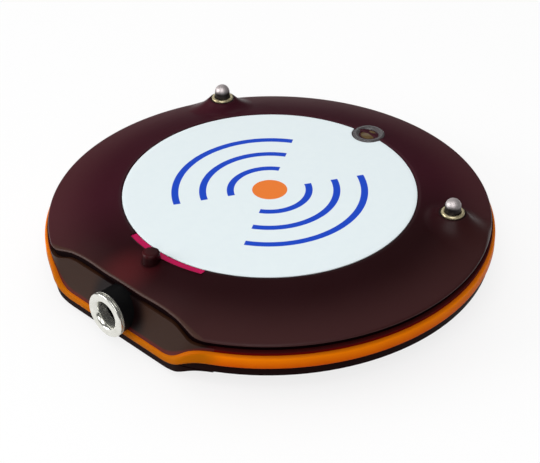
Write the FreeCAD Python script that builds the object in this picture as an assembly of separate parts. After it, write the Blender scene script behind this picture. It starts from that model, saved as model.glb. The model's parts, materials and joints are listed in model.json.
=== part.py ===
import FreeCAD, Part
import math
import os

# Rechargeable disc pager. Millimetres, +Z up, the charging socket looks along -Y.
# The origin is the centre of the disc on the plane that it rests on.

# Housing
BODY_HEIGHT = 17.5
MID_Z = BODY_HEIGHT / 2
PLATEAU_RADIUS = 36.0
RIM_RADIUS = 53.3
SKIRT_REACH = 56.0
DOME_RADIUS = 162.6
LOWER_REACH_Z = 5.4
FACE_WALL = 2.0
SIDE_WALL = 3.4
RIM_BEVEL = 0.4
RIM_EDGE_LOW_Z = 12.0
RIM_EDGE_HIGH_Z = 14.9

# Flat side, where the charging socket is
FLAT_Y = -49.3
FLAT_CORNER = 7.0
FLAT_BREAK_Z = 5.4
LEAN_TOP_Z = 18.5
LEAN_TOP_Y = -45.7
LEAN_TOP_CORNER = 12.0
FOOT_Z = 1.45
FOOT_RISE_Z = 4.4
FOOT_INNER_Y = -38.0

# The parting line dips below the socket by an S on each side
DIP_INNER_X = 15.0
DIP_OUTER_X = 27.5
DIP_ZONE_Y = -40.0
FAR = 70.0

# Bumper band
BAND_RADIUS = 54.0
BAND_FLAT_Y = -49.8
BAND_SEAT_RADIUS = 51.9
BAND_SEAT_FLAT_Y = -47.9
BAND_LOW_ROUND = 6.7
BAND_HIGH_ROUND = 10.15
BAND_LOW_FLAT = 3.25
BAND_HIGH_FLAT = 5.3
BAND_BEVEL = 0.6
BAND_NOTCH_GAP = 0.1
PARTING_FLAT_Z = (BAND_LOW_FLAT + BAND_HIGH_FLAT) / 2

# Shadow groove under the edge of the upper shell
GROOVE_LOW_ROUND = 11.0
GROOVE_HIGH_ROUND = 11.95
GROOVE_LOW_FLAT = 12.8
GROOVE_HIGH_FLAT = 13.4
GROOVE_DEPTH = 0.8
GROOVE_OUTER_X = 24.5

# Label on the top plateau
LABEL_RADIUS = 35.1
LABEL_THICKNESS = 0.3
LABEL_RECESS_RADIUS = 35.3
LABEL_RECESS_DEPTH = 0.35
BAY_RADIUS = 36.85
BAY_ANGLES = (-105.5, -69.3)
LABEL_NOTCH_GAP = 0.25

# Inlay disc under the base
INLAY_RADIUS = 17.3
INLAY_GAP = 0.15
INLAY_THICKNESS = 0.6

# Stacking peg on the top and its socket below
PEG_X = 0.6
PEG_Y = -38.4
PEG_RADIUS = 2.05
PEG_TOP_Z = 19.45
PEG_BEVEL = 0.4
SOCKET_BASE_RADIUS = 5.6
SOCKET_RIM_RADIUS = 4.4
SOCKET_MOUTH_RADIUS = 3.2
SOCKET_FLOOR_RADIUS = 2.5
SOCKET_DEPTH = 2.3
SOCKET_Y = -39.9
SOCKET_BASE_Z = 2.1

# Status window
WINDOW_Y = 35.5
WINDOW_RADIUS = 4.0
WINDOW_BORE = 2.45
WINDOW_TOP_Z = 17.7
WINDOW_FOOT_Z = 14.4
WINDOW_BEVEL = 0.3
WINDOW_MOUTH = 0.6
RECEIVER_RADIUS = 2.2
RECEIVER_TOP_Z = 16.9

# Charging contacts
CONTACT_X = 38.4
CONTACT_Y = 21.5
MOUND_BASE_RADIUS = 7.9
MOUND_BASE_Z = 12.8
MOUND_TOP_RADIUS = 3.3
MOUND_TOP_Z = 18.25
MOUND_FOOT_ROUNDING = 1.5
BARREL_RADIUS = 2.75
BARREL_TOP_Z = 18.8
BARREL_BEVEL = 0.25
BARREL_FLOOR = 0.8
CHAMBER_RADIUS = 2.35
CHAMBER_TOP_Z = 17.6
PIN_RADIUS = 1.9
PIN_TOP_Z = 22.1
PIN_NOSE_STEPS = 4
PIN_RUNNING_GAP = 0.05
PIN_COLLAR_RADIUS = 2.27
PIN_COLLAR_LOW_Z = 15.4
PIN_COLLAR_HIGH_Z = 17.5
SPRING_RADIUS = 1.75
SPRING_WIRE = 0.2
SPRING_TURNS = 6
COIL_STEPS = 10
CUP_DISH_RADIUS = 5.8
CUP_DISH_DEPTH = 1.2
CUP_DISH_FLOOR_RADIUS = 3.2
CUP_RADIUS = 2.8
CUP_BOWL_RADIUS = 2.1
CUP_BOWL_FLOOR_RADIUS = 0.9
CUP_BOWL_DEPTH = 1.6

# Lobes that carry the base plateau out to the charging cups
LOBE_ROOT_X = 15.0
LOBE_SIDE_Y = 30.8
LOBE_SHOULDER_X = 31.0
LOBE_CROWN = (41.0, 27.0)
LOBE_BROW = (45.0, 18.5)
LOBE_CHEEK = (44.6, 14.0)
LOBE_JAW = (42.4, 9.4)
LOBE_FOOT = (35.6, 0.6)
LOBE_SPREAD = 2.2
LOBE_ROOT_Z = 5.1
LOBE_ROUNDING = 1.1

# Charging socket, a barrel socket with a centre pin
JACK_Z = MID_Z
JACK_FRONT_Y = -52.4
FERRULE_BACK_Y = -51.1
FERRULE_RADIUS = 5.4
FERRULE_BORE = 3.05
FERRULE_NECK = 0.35
FERRULE_NECK_LENGTH = 0.35
FERRULE_BEVEL = 0.3
FERRULE_MOUTH = 0.8
FERRULE_SLEEVE_RADIUS = 3.55
FERRULE_SLEEVE_BACK_Y = -43.0
NOSE_RADIUS = 5.2
NOSE_BACK_Y = -46.0
JACK_BLOCK_HALF = 4.6
JACK_BACK_Y = -38.5
JACK_PIN_RADIUS = 1.05
JACK_PIN_TIP_Y = -49.0
JACK_PIN_BEVEL = 0.5
JACK_CLEARANCE = 0.05

# Screws and their posts
SCREW_RADIUS = 44.3
SCREW_ANGLES = (90.0, 3.65, 176.35, -54.0, -126.0)
SCREW_HOLE_RADIUS = 3.1
SCREW_HEAD_RADIUS = 2.6
SCREW_HEAD_Z = 4.9
SCREW_SEAT_Z = 6.5
SCREW_SHANK_RADIUS = 1.3
SCREW_END_Z = 12.4
POST_RADIUS = 4.4
UPPER_POST_RADIUS = 3.3
POST_ROOT_Z = 14.0
SCREW_GAP = 0.02
CROSS_WIDTH = 0.7
CROSS_LENGTH = 3.0
CROSS_DEPTH = 0.9

# Finger pockets under the base
POCKET_X = 28.5
POCKET_Y = 15.4
POCKET_WIDTH = 4.3
POCKET_LENGTH = 11.5
POCKET_DEPTH = 0.45
POCKET_TILT = 19.6

# Circuit board and what it carries
BOARD_RADIUS = 48.5
BOARD_FLAT_Y = -40.7
BOARD_LOW_Z = 8.0
BOARD_TOP_Z = 9.6
BOARD_NOTCH_RADIUS = 3.6
BOARD_JACK_HALF = 5.4
BOARD_JACK_Y = -37.0
LED_COUNT = 16
LED_RADIUS = 46.0
LED_SIZE = (3.0, 1.6, 1.5)
LED_CLEARANCE = 6.2
FLAT_LED_X = 14.0

# Solder tabs of the socket
TAB_X = (-2.6, 2.6)
TAB_WIDTH = 1.6
TAB_Z = (9.9, 10.5)
TAB_ROOT = 2.0
TAB_END_Y = -35.0

# Chips, radio, sounder, motor and battery
CHIP_PLACE = (-2.0, -6.0)
CHIP_SIZE = 9.0
CHIP_HEIGHT = 1.3
CHIP_LEADS = 8
CHIP_PITCH = 0.9
LEAD_LENGTH = 1.2
LEAD_WIDTH = 0.4
RADIO_PLACE = (-24.0, -2.0)
RADIO_SIZE = (16.0, 22.0, 1.0)
SHIELD_SIZE = (12.0, 13.0, 2.4)
ANTENNA_PLACE = (-26.0, 20.0)
ANTENNA_RADIUS = 1.9
ANTENNA_WIRE = 0.35
ANTENNA_TURNS = 7
ANTENNA_LENGTH = 17.0
COMPONENT_PLACE = (8.0, -14.0)
COMPONENT_PITCH = 3.2
COMPONENT_ROWS = 4
COMPONENT_COLUMNS = 4
COIL_PLACE = (-4.0, 8.0)
CRYSTAL_PLACE = (-14.0, -17.0)
BUZZER_PLACE = (18.0, 22.0)
BUZZER_RADIUS = 6.0
BUZZER_HEIGHT = 5.2
BUZZER_HOLE_RADIUS = 1.0
BUZZER_HOLE_DEPTH = 0.8
MOTOR_PLACE = (12.0, 6.0)
MOTOR_Z = 12.7
MOTOR_RADIUS = 2.6
MOTOR_LENGTH = 9.0
BRACKET_LENGTH = 5.0
SHAFT_RADIUS = 0.5
SHAFT_START = 4.0
WEIGHT_START = 10.4
WEIGHT_END = 13.6
WEIGHT_RADIUS = 2.4
BATTERY_PLACE = (0.0, -4.0)
BATTERY_SIZE = (44.0, 34.0, 4.6)
BATTERY_Z = 2.8
PAD_SIZE = (38.0, 28.0)
CONNECTOR_PLACE = (0.0, 24.0)
CONNECTOR_SIZE = (6.0, 4.5, 3.4)
LEAD_SPACING = 2.4
LEAD_Z = 5.8
WIRE_RADIUS = 0.5


def vec(x=0.0, y=0.0, z=0.0):
    return FreeCAD.Vector(x, y, z)


def cylinder(radius, low, high, x=0.0, y=0.0):
    return Part.makeCylinder(radius, high - low, vec(x, y, low))


def cone(low_radius, high_radius, low, high, x=0.0, y=0.0):
    return Part.makeCone(low_radius, high_radius, high - low, vec(x, y, low))


def box(x_low, x_high, y_low, y_high, z_low, z_high):
    return Part.makeBox(x_high - x_low, y_high - y_low, z_high - z_low, vec(x_low, y_low, z_low))


def rod_along_y(radius, front, back, z):
    return Part.makeCylinder(radius, back - front, vec(0, front, z), vec(0, 1, 0))


def line(start, end):
    return Part.LineSegment(start, end).toShape()


def arc(start, middle, end):
    return Part.Arc(start, middle, end).toShape()


def turned(profile, x=0.0, y=0.0):
    """A body turned about the upright line through (x, y) from (radius, height) points."""
    points = [vec(radius, 0, height) for radius, height in profile]
    face = Part.Face(Part.makePolygon(points + points[:1]))
    solid = face.revolve(vec(), vec(0, 0, 1), 360)
    solid.translate(vec(x, y, 0))
    return solid


def joined(solids):
    return solids[0].multiFuse(solids[1:]).removeSplitter()


def both_sides(solid):
    """The solid and its mirror image on the other side of the disc."""
    return [solid, solid.mirror(vec(), vec(1, 0, 0))]


def ring_place(angle, radius):
    turn = math.radians(angle)
    return radius * math.cos(turn), radius * math.sin(turn)


def disc_outline(radius, flat_y, corner, z):
    """A circle with one straight side, and a round corner of its own radius at each end of it."""
    corner_y = flat_y + corner
    corner_x = math.sqrt((radius - corner) ** 2 - corner_y**2)
    outward = vec(corner_x, corner_y).normalize()
    halfway = (outward + vec(0, -1)).normalize()
    meet = outward * radius
    middle = vec(corner_x, corner_y) + halfway * corner

    def at(x, y):
        return vec(x, y, z)

    return Part.Wire(
        [
            line(at(-corner_x, flat_y), at(corner_x, flat_y)),
            arc(at(corner_x, flat_y), at(middle.x, middle.y), at(meet.x, meet.y)),
            arc(at(meet.x, meet.y), at(0, radius), at(-meet.x, meet.y)),
            arc(at(-meet.x, meet.y), at(-middle.x, middle.y), at(-corner_x, flat_y)),
        ]
    )


def disc_prism(radius, flat_y, corner, low, high):
    face = Part.Face(disc_outline(radius, flat_y, corner, low))
    return face.extrude(vec(0, 0, high - low))


def leaning_prism(inset):
    """The side walls of the housing: upright, except that the flat side leans back above the band."""
    radius = RIM_RADIUS - inset
    sections = [
        disc_outline(radius, FLAT_Y + inset, FLAT_CORNER, -1.0),
        disc_outline(radius, FLAT_Y + inset, FLAT_CORNER, FLAT_BREAK_Z),
        disc_outline(radius, LEAN_TOP_Y + inset, LEAN_TOP_CORNER, LEAN_TOP_Z),
    ]
    return Part.makeLoft(sections, True, True)


def level_run(direction, round_z, flat_z, outer_x=DIP_OUTER_X):
    """A line across the flat side that keeps one height there and turns by an S to another beyond."""
    y = -FAR
    middle = (DIP_INNER_X + outer_x) / 2

    def at(x, z):
        return vec(direction * x, y, z)

    def turn(x_from, z_from, x_to, z_to):
        halfway = middle if x_from > 0 else -middle
        curve = Part.BezierCurve()
        curve.setPoles([at(x_from, z_from), at(halfway, z_from), at(halfway, z_to), at(x_to, z_to)])
        return curve.toShape()

    return [
        line(at(-FAR, round_z), at(-outer_x, round_z)),
        turn(-outer_x, round_z, -DIP_INNER_X, flat_z),
        line(at(-DIP_INNER_X, flat_z), at(DIP_INNER_X, flat_z)),
        turn(DIP_INNER_X, flat_z, outer_x, round_z),
        line(at(outer_x, round_z), at(FAR, round_z)),
    ]


def layer(low_round, low_flat, high_round, high_flat, outer_x=DIP_OUTER_X):
    """All that lies between two levels, each of which changes height along the flat side."""
    wire = Part.Wire(
        level_run(1, low_round, low_flat, outer_x)
        + [line(vec(FAR, -FAR, low_round), vec(FAR, -FAR, high_round))]
        + level_run(-1, high_round, high_flat, outer_x)
        + [line(vec(-FAR, -FAR, high_round), vec(-FAR, -FAR, low_round))]
    )
    near = Part.Face(wire).extrude(vec(0, FAR + DIP_ZONE_Y, 0))
    far = box(-FAR, FAR, DIP_ZONE_Y, FAR, low_round, high_round)
    return near.fuse(far)


def dome_drop(radius):
    """How far a skirt, part of a sphere about the axis, lies below its plateau."""
    return math.sqrt(DOME_RADIUS**2 - PLATEAU_RADIUS**2) - math.sqrt(DOME_RADIUS**2 - radius**2)


def turned_form():
    """Plateaus above and below, the upper with a domed skirt and the lower with a straight one."""
    radii = (PLATEAU_RADIUS, (PLATEAU_RADIUS + SKIRT_REACH) / 2, SKIRT_REACH)
    upper = [vec(radius, 0, BODY_HEIGHT - dome_drop(radius)) for radius in radii]
    lower_root = vec(PLATEAU_RADIUS, 0, 0)
    lower_reach = vec(SKIRT_REACH, 0, LOWER_REACH_Z)
    wire = Part.Wire(
        [
            line(vec(), lower_root),
            line(lower_root, lower_reach),
            line(lower_reach, upper[2]),
            arc(*reversed(upper)),
            line(upper[0], vec(0, 0, BODY_HEIGHT)),
            line(vec(0, 0, BODY_HEIGHT), vec()),
        ]
    )
    return Part.Face(wire).revolve(vec(), vec(0, 0, 1), 360)


def housing_form():
    """The outside of the closed housing, before its lobes and bosses."""
    foot_run = level_run(1, FOOT_RISE_Z, FOOT_Z)[1:4]
    lid = line(vec(DIP_OUTER_X, -FAR, FOOT_RISE_Z), vec(-DIP_OUTER_X, -FAR, FOOT_RISE_Z))
    foot = Part.Face(Part.Wire(foot_run + [lid])).extrude(vec(0, FAR + FOOT_INNER_Y, 0))
    form = turned_form().fuse(foot).common(leaning_prism(0.0))
    rim = [edge for edge in form.Edges if is_upper_rim(edge)]
    return form.makeChamfer(RIM_BEVEL, rim)


def is_upper_rim(edge):
    """True for the edges where the upper skirt meets the side walls."""
    bounds = edge.BoundBox
    centre = edge.CenterOfMass
    outside = math.hypot(centre.x, centre.y) > PLATEAU_RADIUS or edge.Length > PLATEAU_RADIUS
    return bounds.ZMin > RIM_EDGE_LOW_Z and bounds.ZMax < RIM_EDGE_HIGH_Z and outside


def cavity_form():
    """The hollow of the housing: flat roof and floor with straight skirts, inside the side walls."""
    drop = dome_drop(SKIRT_REACH)
    profile = [
        (0.0, FACE_WALL),
        (PLATEAU_RADIUS, FACE_WALL),
        (SKIRT_REACH, FACE_WALL + drop),
        (SKIRT_REACH, BODY_HEIGHT - FACE_WALL - drop),
        (PLATEAU_RADIUS, BODY_HEIGHT - FACE_WALL),
        (0.0, BODY_HEIGHT - FACE_WALL),
    ]
    return turned(profile).common(leaning_prism(SIDE_WALL))


def lobe_outline(grow, z):
    """Plan of one raised lobe: straight sides from the plateau, rounded about the contact."""
    points = {
        "root": vec(LOBE_ROOT_X, LOBE_SIDE_Y + grow, z),
        "shoulder": vec(LOBE_SHOULDER_X, LOBE_SIDE_Y + grow, z),
        "crown": vec(LOBE_CROWN[0] + grow * 0.7, LOBE_CROWN[1] + grow * 0.7, z),
        "brow": vec(LOBE_BROW[0] + grow, LOBE_BROW[1], z),
        "cheek": vec(LOBE_CHEEK[0] + grow, LOBE_CHEEK[1] - grow * 0.2, z),
        "jaw": vec(LOBE_JAW[0] + grow, LOBE_JAW[1] - grow * 0.4, z),
        "foot": vec(LOBE_FOOT[0] + grow, LOBE_FOOT[1] - grow * 0.4, z),
        "heel": vec(LOBE_ROOT_X, LOBE_FOOT[1] - grow * 0.4, z),
    }
    return Part.Wire(
        [
            line(points["root"], points["shoulder"]),
            arc(points["shoulder"], points["crown"], points["brow"]),
            arc(points["brow"], points["cheek"], points["jaw"]),
            line(points["jaw"], points["foot"]),
            line(points["foot"], points["heel"]),
            line(points["heel"], points["root"]),
        ]
    )


def base_lobe():
    """A mesa that carries the base plateau's level out to the charging cup, with leaning sides."""
    lobe = Part.makeLoft([lobe_outline(0.0, 0.0), lobe_outline(LOBE_SPREAD, LOBE_ROOT_Z)], True, True)
    crest = [e for e in lobe.Edges if e.BoundBox.ZMax < 0.1 and e.BoundBox.XMax > LOBE_ROOT_X + 1]
    return lobe.makeFillet(LOBE_ROUNDING, crest)


def contact_mound():
    """A steep cone that lifts the spring contact out of the skirt."""
    return cone(MOUND_BASE_RADIUS, MOUND_TOP_RADIUS, MOUND_BASE_Z, MOUND_TOP_Z, CONTACT_X, CONTACT_Y)


def is_mound_foot(edge):
    """True for the curve where a contact mound leaves the skirt."""
    centre = edge.CenterOfMass
    near = math.hypot(abs(centre.x) - CONTACT_X, centre.y - CONTACT_Y) < MOUND_BASE_RADIUS
    bounds = edge.BoundBox
    return near and bounds.ZMin > RIM_EDGE_LOW_Z and bounds.ZMax < MOUND_TOP_Z - 0.1


def seat_ring():
    """The groove round the rim that holds the bumper band."""
    zone = layer(BAND_LOW_ROUND, BAND_LOW_FLAT, BAND_HIGH_ROUND, BAND_HIGH_FLAT)
    core = disc_prism(BAND_SEAT_RADIUS, BAND_SEAT_FLAT_Y, FLAT_CORNER, -1.0, BODY_HEIGHT)
    return zone.cut(core)


def shadow_ring():
    """The narrow groove that runs under the edge of the upper shell."""
    zone = layer(GROOVE_LOW_ROUND, GROOVE_LOW_FLAT, GROOVE_HIGH_ROUND, GROOVE_HIGH_FLAT, GROOVE_OUTER_X)
    return zone.cut(leaning_prism(GROOVE_DEPTH))


def jack_space():
    """Room in the housing for the nose and the block of the charging socket."""
    nose = rod_along_y(NOSE_RADIUS + JACK_CLEARANCE, -FAR, JACK_BACK_Y, JACK_Z)
    half = JACK_BLOCK_HALF + JACK_CLEARANCE
    block = box(-half, half, NOSE_BACK_Y, JACK_BACK_Y, JACK_Z - half, JACK_Z + half)
    return nose.fuse(block)


def label_bay():
    """A shallow bay beside the label, between two angles and short of the peg that stands at its edge."""
    floor = BODY_HEIGHT - LABEL_RECESS_DEPTH
    corners = [vec(0, 0, floor)] + [vec(*ring_place(angle, FAR), floor) for angle in BAY_ANGLES]
    wedge = Part.Face(Part.makePolygon(corners + corners[:1])).extrude(vec(0, 0, BODY_HEIGHT))
    return wedge.common(cylinder(BAY_RADIUS, floor, PIN_TOP_Z)).cut(cylinder(PEG_RADIUS, 0, PIN_TOP_Z, PEG_X, PEG_Y))


def post_places():
    return [ring_place(angle, SCREW_RADIUS) for angle in SCREW_ANGLES]


def upper_shell():
    form = housing_form().common(layer(MID_Z, PARTING_FLAT_Z, BODY_HEIGHT * 2, BODY_HEIGHT * 2))
    peg = cylinder(PEG_RADIUS, BODY_HEIGHT - 2.5, PEG_TOP_Z, PEG_X, PEG_Y)
    peg_edge = [e for e in peg.Edges if e.BoundBox.ZMin > PEG_TOP_Z - 0.1]
    peg = peg.makeChamfer(PEG_BEVEL, peg_edge)
    shell = joined([form, peg] + both_sides(contact_mound()))
    feet = [e for e in shell.Edges if is_mound_foot(e)]
    shell = shell.makeFillet(MOUND_FOOT_ROUNDING, feet)
    shell = shell.cut(cavity_form())
    posts = [cylinder(UPPER_POST_RADIUS, BOARD_LOW_Z, POST_ROOT_Z, x, y) for x, y in post_places()]
    shell = joined([shell] + posts)
    pilots = [
        cylinder(SCREW_SHANK_RADIUS + SCREW_GAP, BOARD_LOW_Z, SCREW_END_Z + 0.3, x, y)
        for x, y in post_places()
    ]
    barrels = both_sides(cylinder(BARREL_RADIUS, BOARD_TOP_Z, PIN_TOP_Z, CONTACT_X, CONTACT_Y))
    label = cylinder(LABEL_RECESS_RADIUS, BODY_HEIGHT - LABEL_RECESS_DEPTH, PIN_TOP_Z)
    window = cylinder(WINDOW_RADIUS, WINDOW_FOOT_Z, PIN_TOP_Z, 0, WINDOW_Y)
    cuts = pilots + barrels + [label, label_bay(), window, seat_ring(), shadow_ring(), jack_space()]
    for cut in cuts:
        shell = shell.cut(cut)
    return shell


def lower_shell():
    form = housing_form().common(layer(-BODY_HEIGHT, -BODY_HEIGHT, MID_Z, PARTING_FLAT_Z))
    socket = cone(SOCKET_RIM_RADIUS, SOCKET_BASE_RADIUS, 0.0, SOCKET_BASE_Z, PEG_X, SOCKET_Y)
    lobes = both_sides(base_lobe())
    shell = joined([form, socket] + lobes).cut(cavity_form())
    posts = [cylinder(POST_RADIUS, SCREW_HEAD_Z - 1.0, BOARD_LOW_Z, x, y) for x, y in post_places()]
    shell = joined([shell] + posts)
    cuts = [seat_ring(), jack_space()]
    for x, y in post_places():
        cuts.append(cylinder(SCREW_HOLE_RADIUS, -1.0, SCREW_SEAT_Z, x, y))
        cuts.append(cylinder(SCREW_SHANK_RADIUS + SCREW_GAP, SCREW_SEAT_Z, BOARD_LOW_Z, x, y))
    dish = cone(CUP_DISH_RADIUS, CUP_DISH_FLOOR_RADIUS, 0.0, CUP_DISH_DEPTH, CONTACT_X, CONTACT_Y)
    seat = cylinder(CUP_RADIUS, 0.0, BOARD_LOW_Z, CONTACT_X, CONTACT_Y)
    cuts += both_sides(dish) + both_sides(seat)
    cuts.append(cone(SOCKET_MOUTH_RADIUS, SOCKET_FLOOR_RADIUS, 0.0, SOCKET_DEPTH, PEG_X, SOCKET_Y))
    cuts.append(cylinder(INLAY_RADIUS + INLAY_GAP, 0.0, INLAY_THICKNESS))
    cuts += both_sides(finger_pocket())
    for cut in cuts:
        shell = shell.cut(cut)
    return shell


def finger_pocket():
    """A shallow slot with round ends, tilted so that its far end leans to the middle."""
    half = (POCKET_LENGTH - POCKET_WIDTH) / 2
    radius = POCKET_WIDTH / 2
    pocket = joined(
        [
            box(-radius, radius, -half, half, 0.0, POCKET_DEPTH),
            cylinder(radius, 0.0, POCKET_DEPTH, 0, half),
            cylinder(radius, 0.0, POCKET_DEPTH, 0, -half),
        ]
    )
    pocket.rotate(vec(), vec(0, 0, 1), POCKET_TILT)
    pocket.translate(vec(POCKET_X, POCKET_Y, 0))
    return pocket


def bumper_band():
    """A soft band round the rim that drops below the charging socket."""
    zone = layer(BAND_LOW_ROUND, BAND_LOW_FLAT, BAND_HIGH_ROUND, BAND_HIGH_FLAT)
    outer = disc_prism(BAND_RADIUS, BAND_FLAT_Y, FLAT_CORNER, -1.0, BODY_HEIGHT)
    inner = disc_prism(BAND_SEAT_RADIUS, BAND_SEAT_FLAT_Y, FLAT_CORNER, -1.0, BODY_HEIGHT)
    bar = zone.common(outer)
    corners = [e for e in bar.Edges if is_band_corner(e)]
    band = bar.makeChamfer(BAND_BEVEL, corners).cut(inner)
    return band.cut(rod_along_y(NOSE_RADIUS + BAND_NOTCH_GAP, -FAR, JACK_BACK_Y, JACK_Z))


def is_band_corner(edge):
    """True for the edges along the outside of the band, at its top and its bottom."""
    middle = edge.valueAt((edge.FirstParameter + edge.LastParameter) / 2)
    ends = [vertex.Point for vertex in edge.Vertexes]
    run = max(math.hypot(p.x - middle.x, p.y - middle.y) for p in ends + [middle])
    outside = math.hypot(middle.x, middle.y) > BAND_SEAT_RADIUS or middle.y < BAND_SEAT_FLAT_Y
    return outside and run > 0.01


def top_label():
    """A printed disc in the top recess, notched round the status window."""
    floor = BODY_HEIGHT - LABEL_RECESS_DEPTH
    label = cylinder(LABEL_RADIUS, floor, floor + LABEL_THICKNESS)
    return label.cut(cylinder(WINDOW_RADIUS + LABEL_NOTCH_GAP, 0.0, PIN_TOP_Z, 0, WINDOW_Y))


def underside_inlay():
    return cylinder(INLAY_RADIUS, 0.0, INLAY_THICKNESS)


def window_bezel():
    """A clear ring with a bevelled mouth, pressed into the top."""
    profile = [
        (WINDOW_BORE, WINDOW_FOOT_Z),
        (WINDOW_RADIUS, WINDOW_FOOT_Z),
        (WINDOW_RADIUS, WINDOW_TOP_Z - WINDOW_BEVEL),
        (WINDOW_RADIUS - WINDOW_BEVEL, WINDOW_TOP_Z),
        (WINDOW_BORE + WINDOW_MOUTH, WINDOW_TOP_Z),
        (WINDOW_BORE, WINDOW_TOP_Z - WINDOW_MOUTH),
    ]
    return turned(profile, 0, WINDOW_Y)


def window_receiver():
    """The light receiver that stands on the board and looks out through the window."""
    profile = [
        (0.0, BOARD_TOP_Z),
        (RECEIVER_RADIUS, BOARD_TOP_Z),
        (RECEIVER_RADIUS, RECEIVER_TOP_Z - 0.5),
        (RECEIVER_RADIUS - 0.5, RECEIVER_TOP_Z),
        (0.0, RECEIVER_TOP_Z),
    ]
    return turned(profile, 0, WINDOW_Y)


def contact_barrel():
    """A turned sleeve that stands on the board: a chamber for the spring, a narrow mouth round the pin."""
    floor = BOARD_TOP_Z + BARREL_FLOOR
    mouth = PIN_RADIUS + PIN_RUNNING_GAP
    profile = [
        (0.0, BOARD_TOP_Z),
        (BARREL_RADIUS, BOARD_TOP_Z),
        (BARREL_RADIUS, BARREL_TOP_Z - BARREL_BEVEL),
        (BARREL_RADIUS - BARREL_BEVEL, BARREL_TOP_Z),
        (mouth, BARREL_TOP_Z),
        (mouth, CHAMBER_TOP_Z),
        (CHAMBER_RADIUS, CHAMBER_TOP_Z),
        (CHAMBER_RADIUS, floor),
        (0.0, floor),
    ]
    return turned(profile, CONTACT_X, CONTACT_Y)


def contact_pin():
    """A spring pin with a domed nose, and a collar that keeps it in its barrel."""
    dome_base = PIN_TOP_Z - PIN_RADIUS
    nose = []
    for step in range(PIN_NOSE_STEPS):
        turn = math.radians(90.0 * step / PIN_NOSE_STEPS)
        nose.append((PIN_RADIUS * math.cos(turn), dome_base + PIN_RADIUS * math.sin(turn)))
    profile = [
        (0.0, PIN_COLLAR_LOW_Z),
        (PIN_COLLAR_RADIUS, PIN_COLLAR_LOW_Z),
        (PIN_COLLAR_RADIUS, PIN_COLLAR_HIGH_Z),
        (PIN_RADIUS, PIN_COLLAR_HIGH_Z),
    ]
    return turned(profile + nose + [(0.0, PIN_TOP_Z)], CONTACT_X, CONTACT_Y)


def coil(radius, wire_radius, turns, height):
    """A square wire wound upwards about the Z axis in short straight lengths, from height zero."""
    count = round(turns * COIL_STEPS)
    points = []
    for step in range(count + 1):
        x, y = ring_place(360.0 * step / COIL_STEPS, radius)
        points.append(vec(x, y, height * step / count))
    corners = [vec(radius + a * wire_radius, 0, b * wire_radius) for a, b in ((1, 1), (-1, 1), (-1, -1), (1, -1))]
    section = Part.makePolygon(corners + corners[:1])
    return Part.makePolygon(points).makePipeShell([section], True, False, 1)


def contact_spring():
    foot = BOARD_TOP_Z + BARREL_FLOOR + SPRING_WIRE
    height = PIN_COLLAR_LOW_Z - SPRING_WIRE - foot
    spring = coil(SPRING_RADIUS, SPRING_WIRE, SPRING_TURNS, height)
    spring.translate(vec(CONTACT_X, CONTACT_Y, foot))
    return spring


def charge_cup():
    """A turned stud under the base with a bowl for the pin of the disc below."""
    bowl_floor = CUP_DISH_DEPTH + CUP_BOWL_DEPTH
    profile = [
        (0.0, bowl_floor),
        (CUP_BOWL_FLOOR_RADIUS, bowl_floor),
        (CUP_BOWL_RADIUS, CUP_DISH_DEPTH),
        (CUP_RADIUS, CUP_DISH_DEPTH),
        (CUP_RADIUS, BOARD_LOW_Z),
        (0.0, BOARD_LOW_Z),
    ]
    return turned(profile, CONTACT_X, CONTACT_Y)


def jack_body():
    """The black moulding of the charging socket: round nose, square block and a stepped bore."""
    half = JACK_BLOCK_HALF
    nose = rod_along_y(NOSE_RADIUS, FERRULE_BACK_Y, NOSE_BACK_Y + 1.0, JACK_Z)
    block = box(-half, half, NOSE_BACK_Y, JACK_BACK_Y, JACK_Z - half, JACK_Z + half)
    bore = rod_along_y(FERRULE_SLEEVE_RADIUS, FERRULE_BACK_Y, FERRULE_SLEEVE_BACK_Y, JACK_Z)
    stem = rod_along_y(JACK_PIN_RADIUS, FERRULE_SLEEVE_BACK_Y, JACK_BACK_Y, JACK_Z)
    tabs = [box(x - TAB_WIDTH / 2, x + TAB_WIDTH / 2, JACK_BACK_Y - TAB_ROOT, JACK_BACK_Y, *TAB_Z) for x in TAB_X]
    body = nose.fuse(block).cut(bore).cut(stem)
    for tab in tabs:
        body = body.cut(tab)
    return body


def jack_ferrule():
    """The bright metal mouth of the socket, with a groove behind its lip, and its sleeve inside."""
    neck = FERRULE_RADIUS - FERRULE_NECK
    profile = [
        (FERRULE_BORE, FERRULE_SLEEVE_BACK_Y),
        (FERRULE_SLEEVE_RADIUS, FERRULE_SLEEVE_BACK_Y),
        (FERRULE_SLEEVE_RADIUS, FERRULE_BACK_Y),
        (neck, FERRULE_BACK_Y),
        (neck, FERRULE_BACK_Y - FERRULE_NECK_LENGTH),
        (FERRULE_RADIUS, FERRULE_BACK_Y - FERRULE_NECK_LENGTH),
        (FERRULE_RADIUS, JACK_FRONT_Y + FERRULE_BEVEL),
        (FERRULE_RADIUS - FERRULE_BEVEL, JACK_FRONT_Y),
        (FERRULE_BORE + FERRULE_MOUTH, JACK_FRONT_Y),
        (FERRULE_BORE, JACK_FRONT_Y + FERRULE_MOUTH),
    ]
    ring = turned(profile)
    ring.rotate(vec(), vec(1, 0, 0), -90)
    ring.translate(vec(0, 0, JACK_Z))
    return ring


def jack_centre_pin():
    """The socket's centre pin, bevelled at its tip."""
    shaft = rod_along_y(JACK_PIN_RADIUS, JACK_PIN_TIP_Y, JACK_BACK_Y, JACK_Z)
    tip = [e for e in shaft.Edges if e.BoundBox.YMax < JACK_PIN_TIP_Y + 0.1]
    return shaft.makeChamfer(JACK_PIN_BEVEL, tip)


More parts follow.
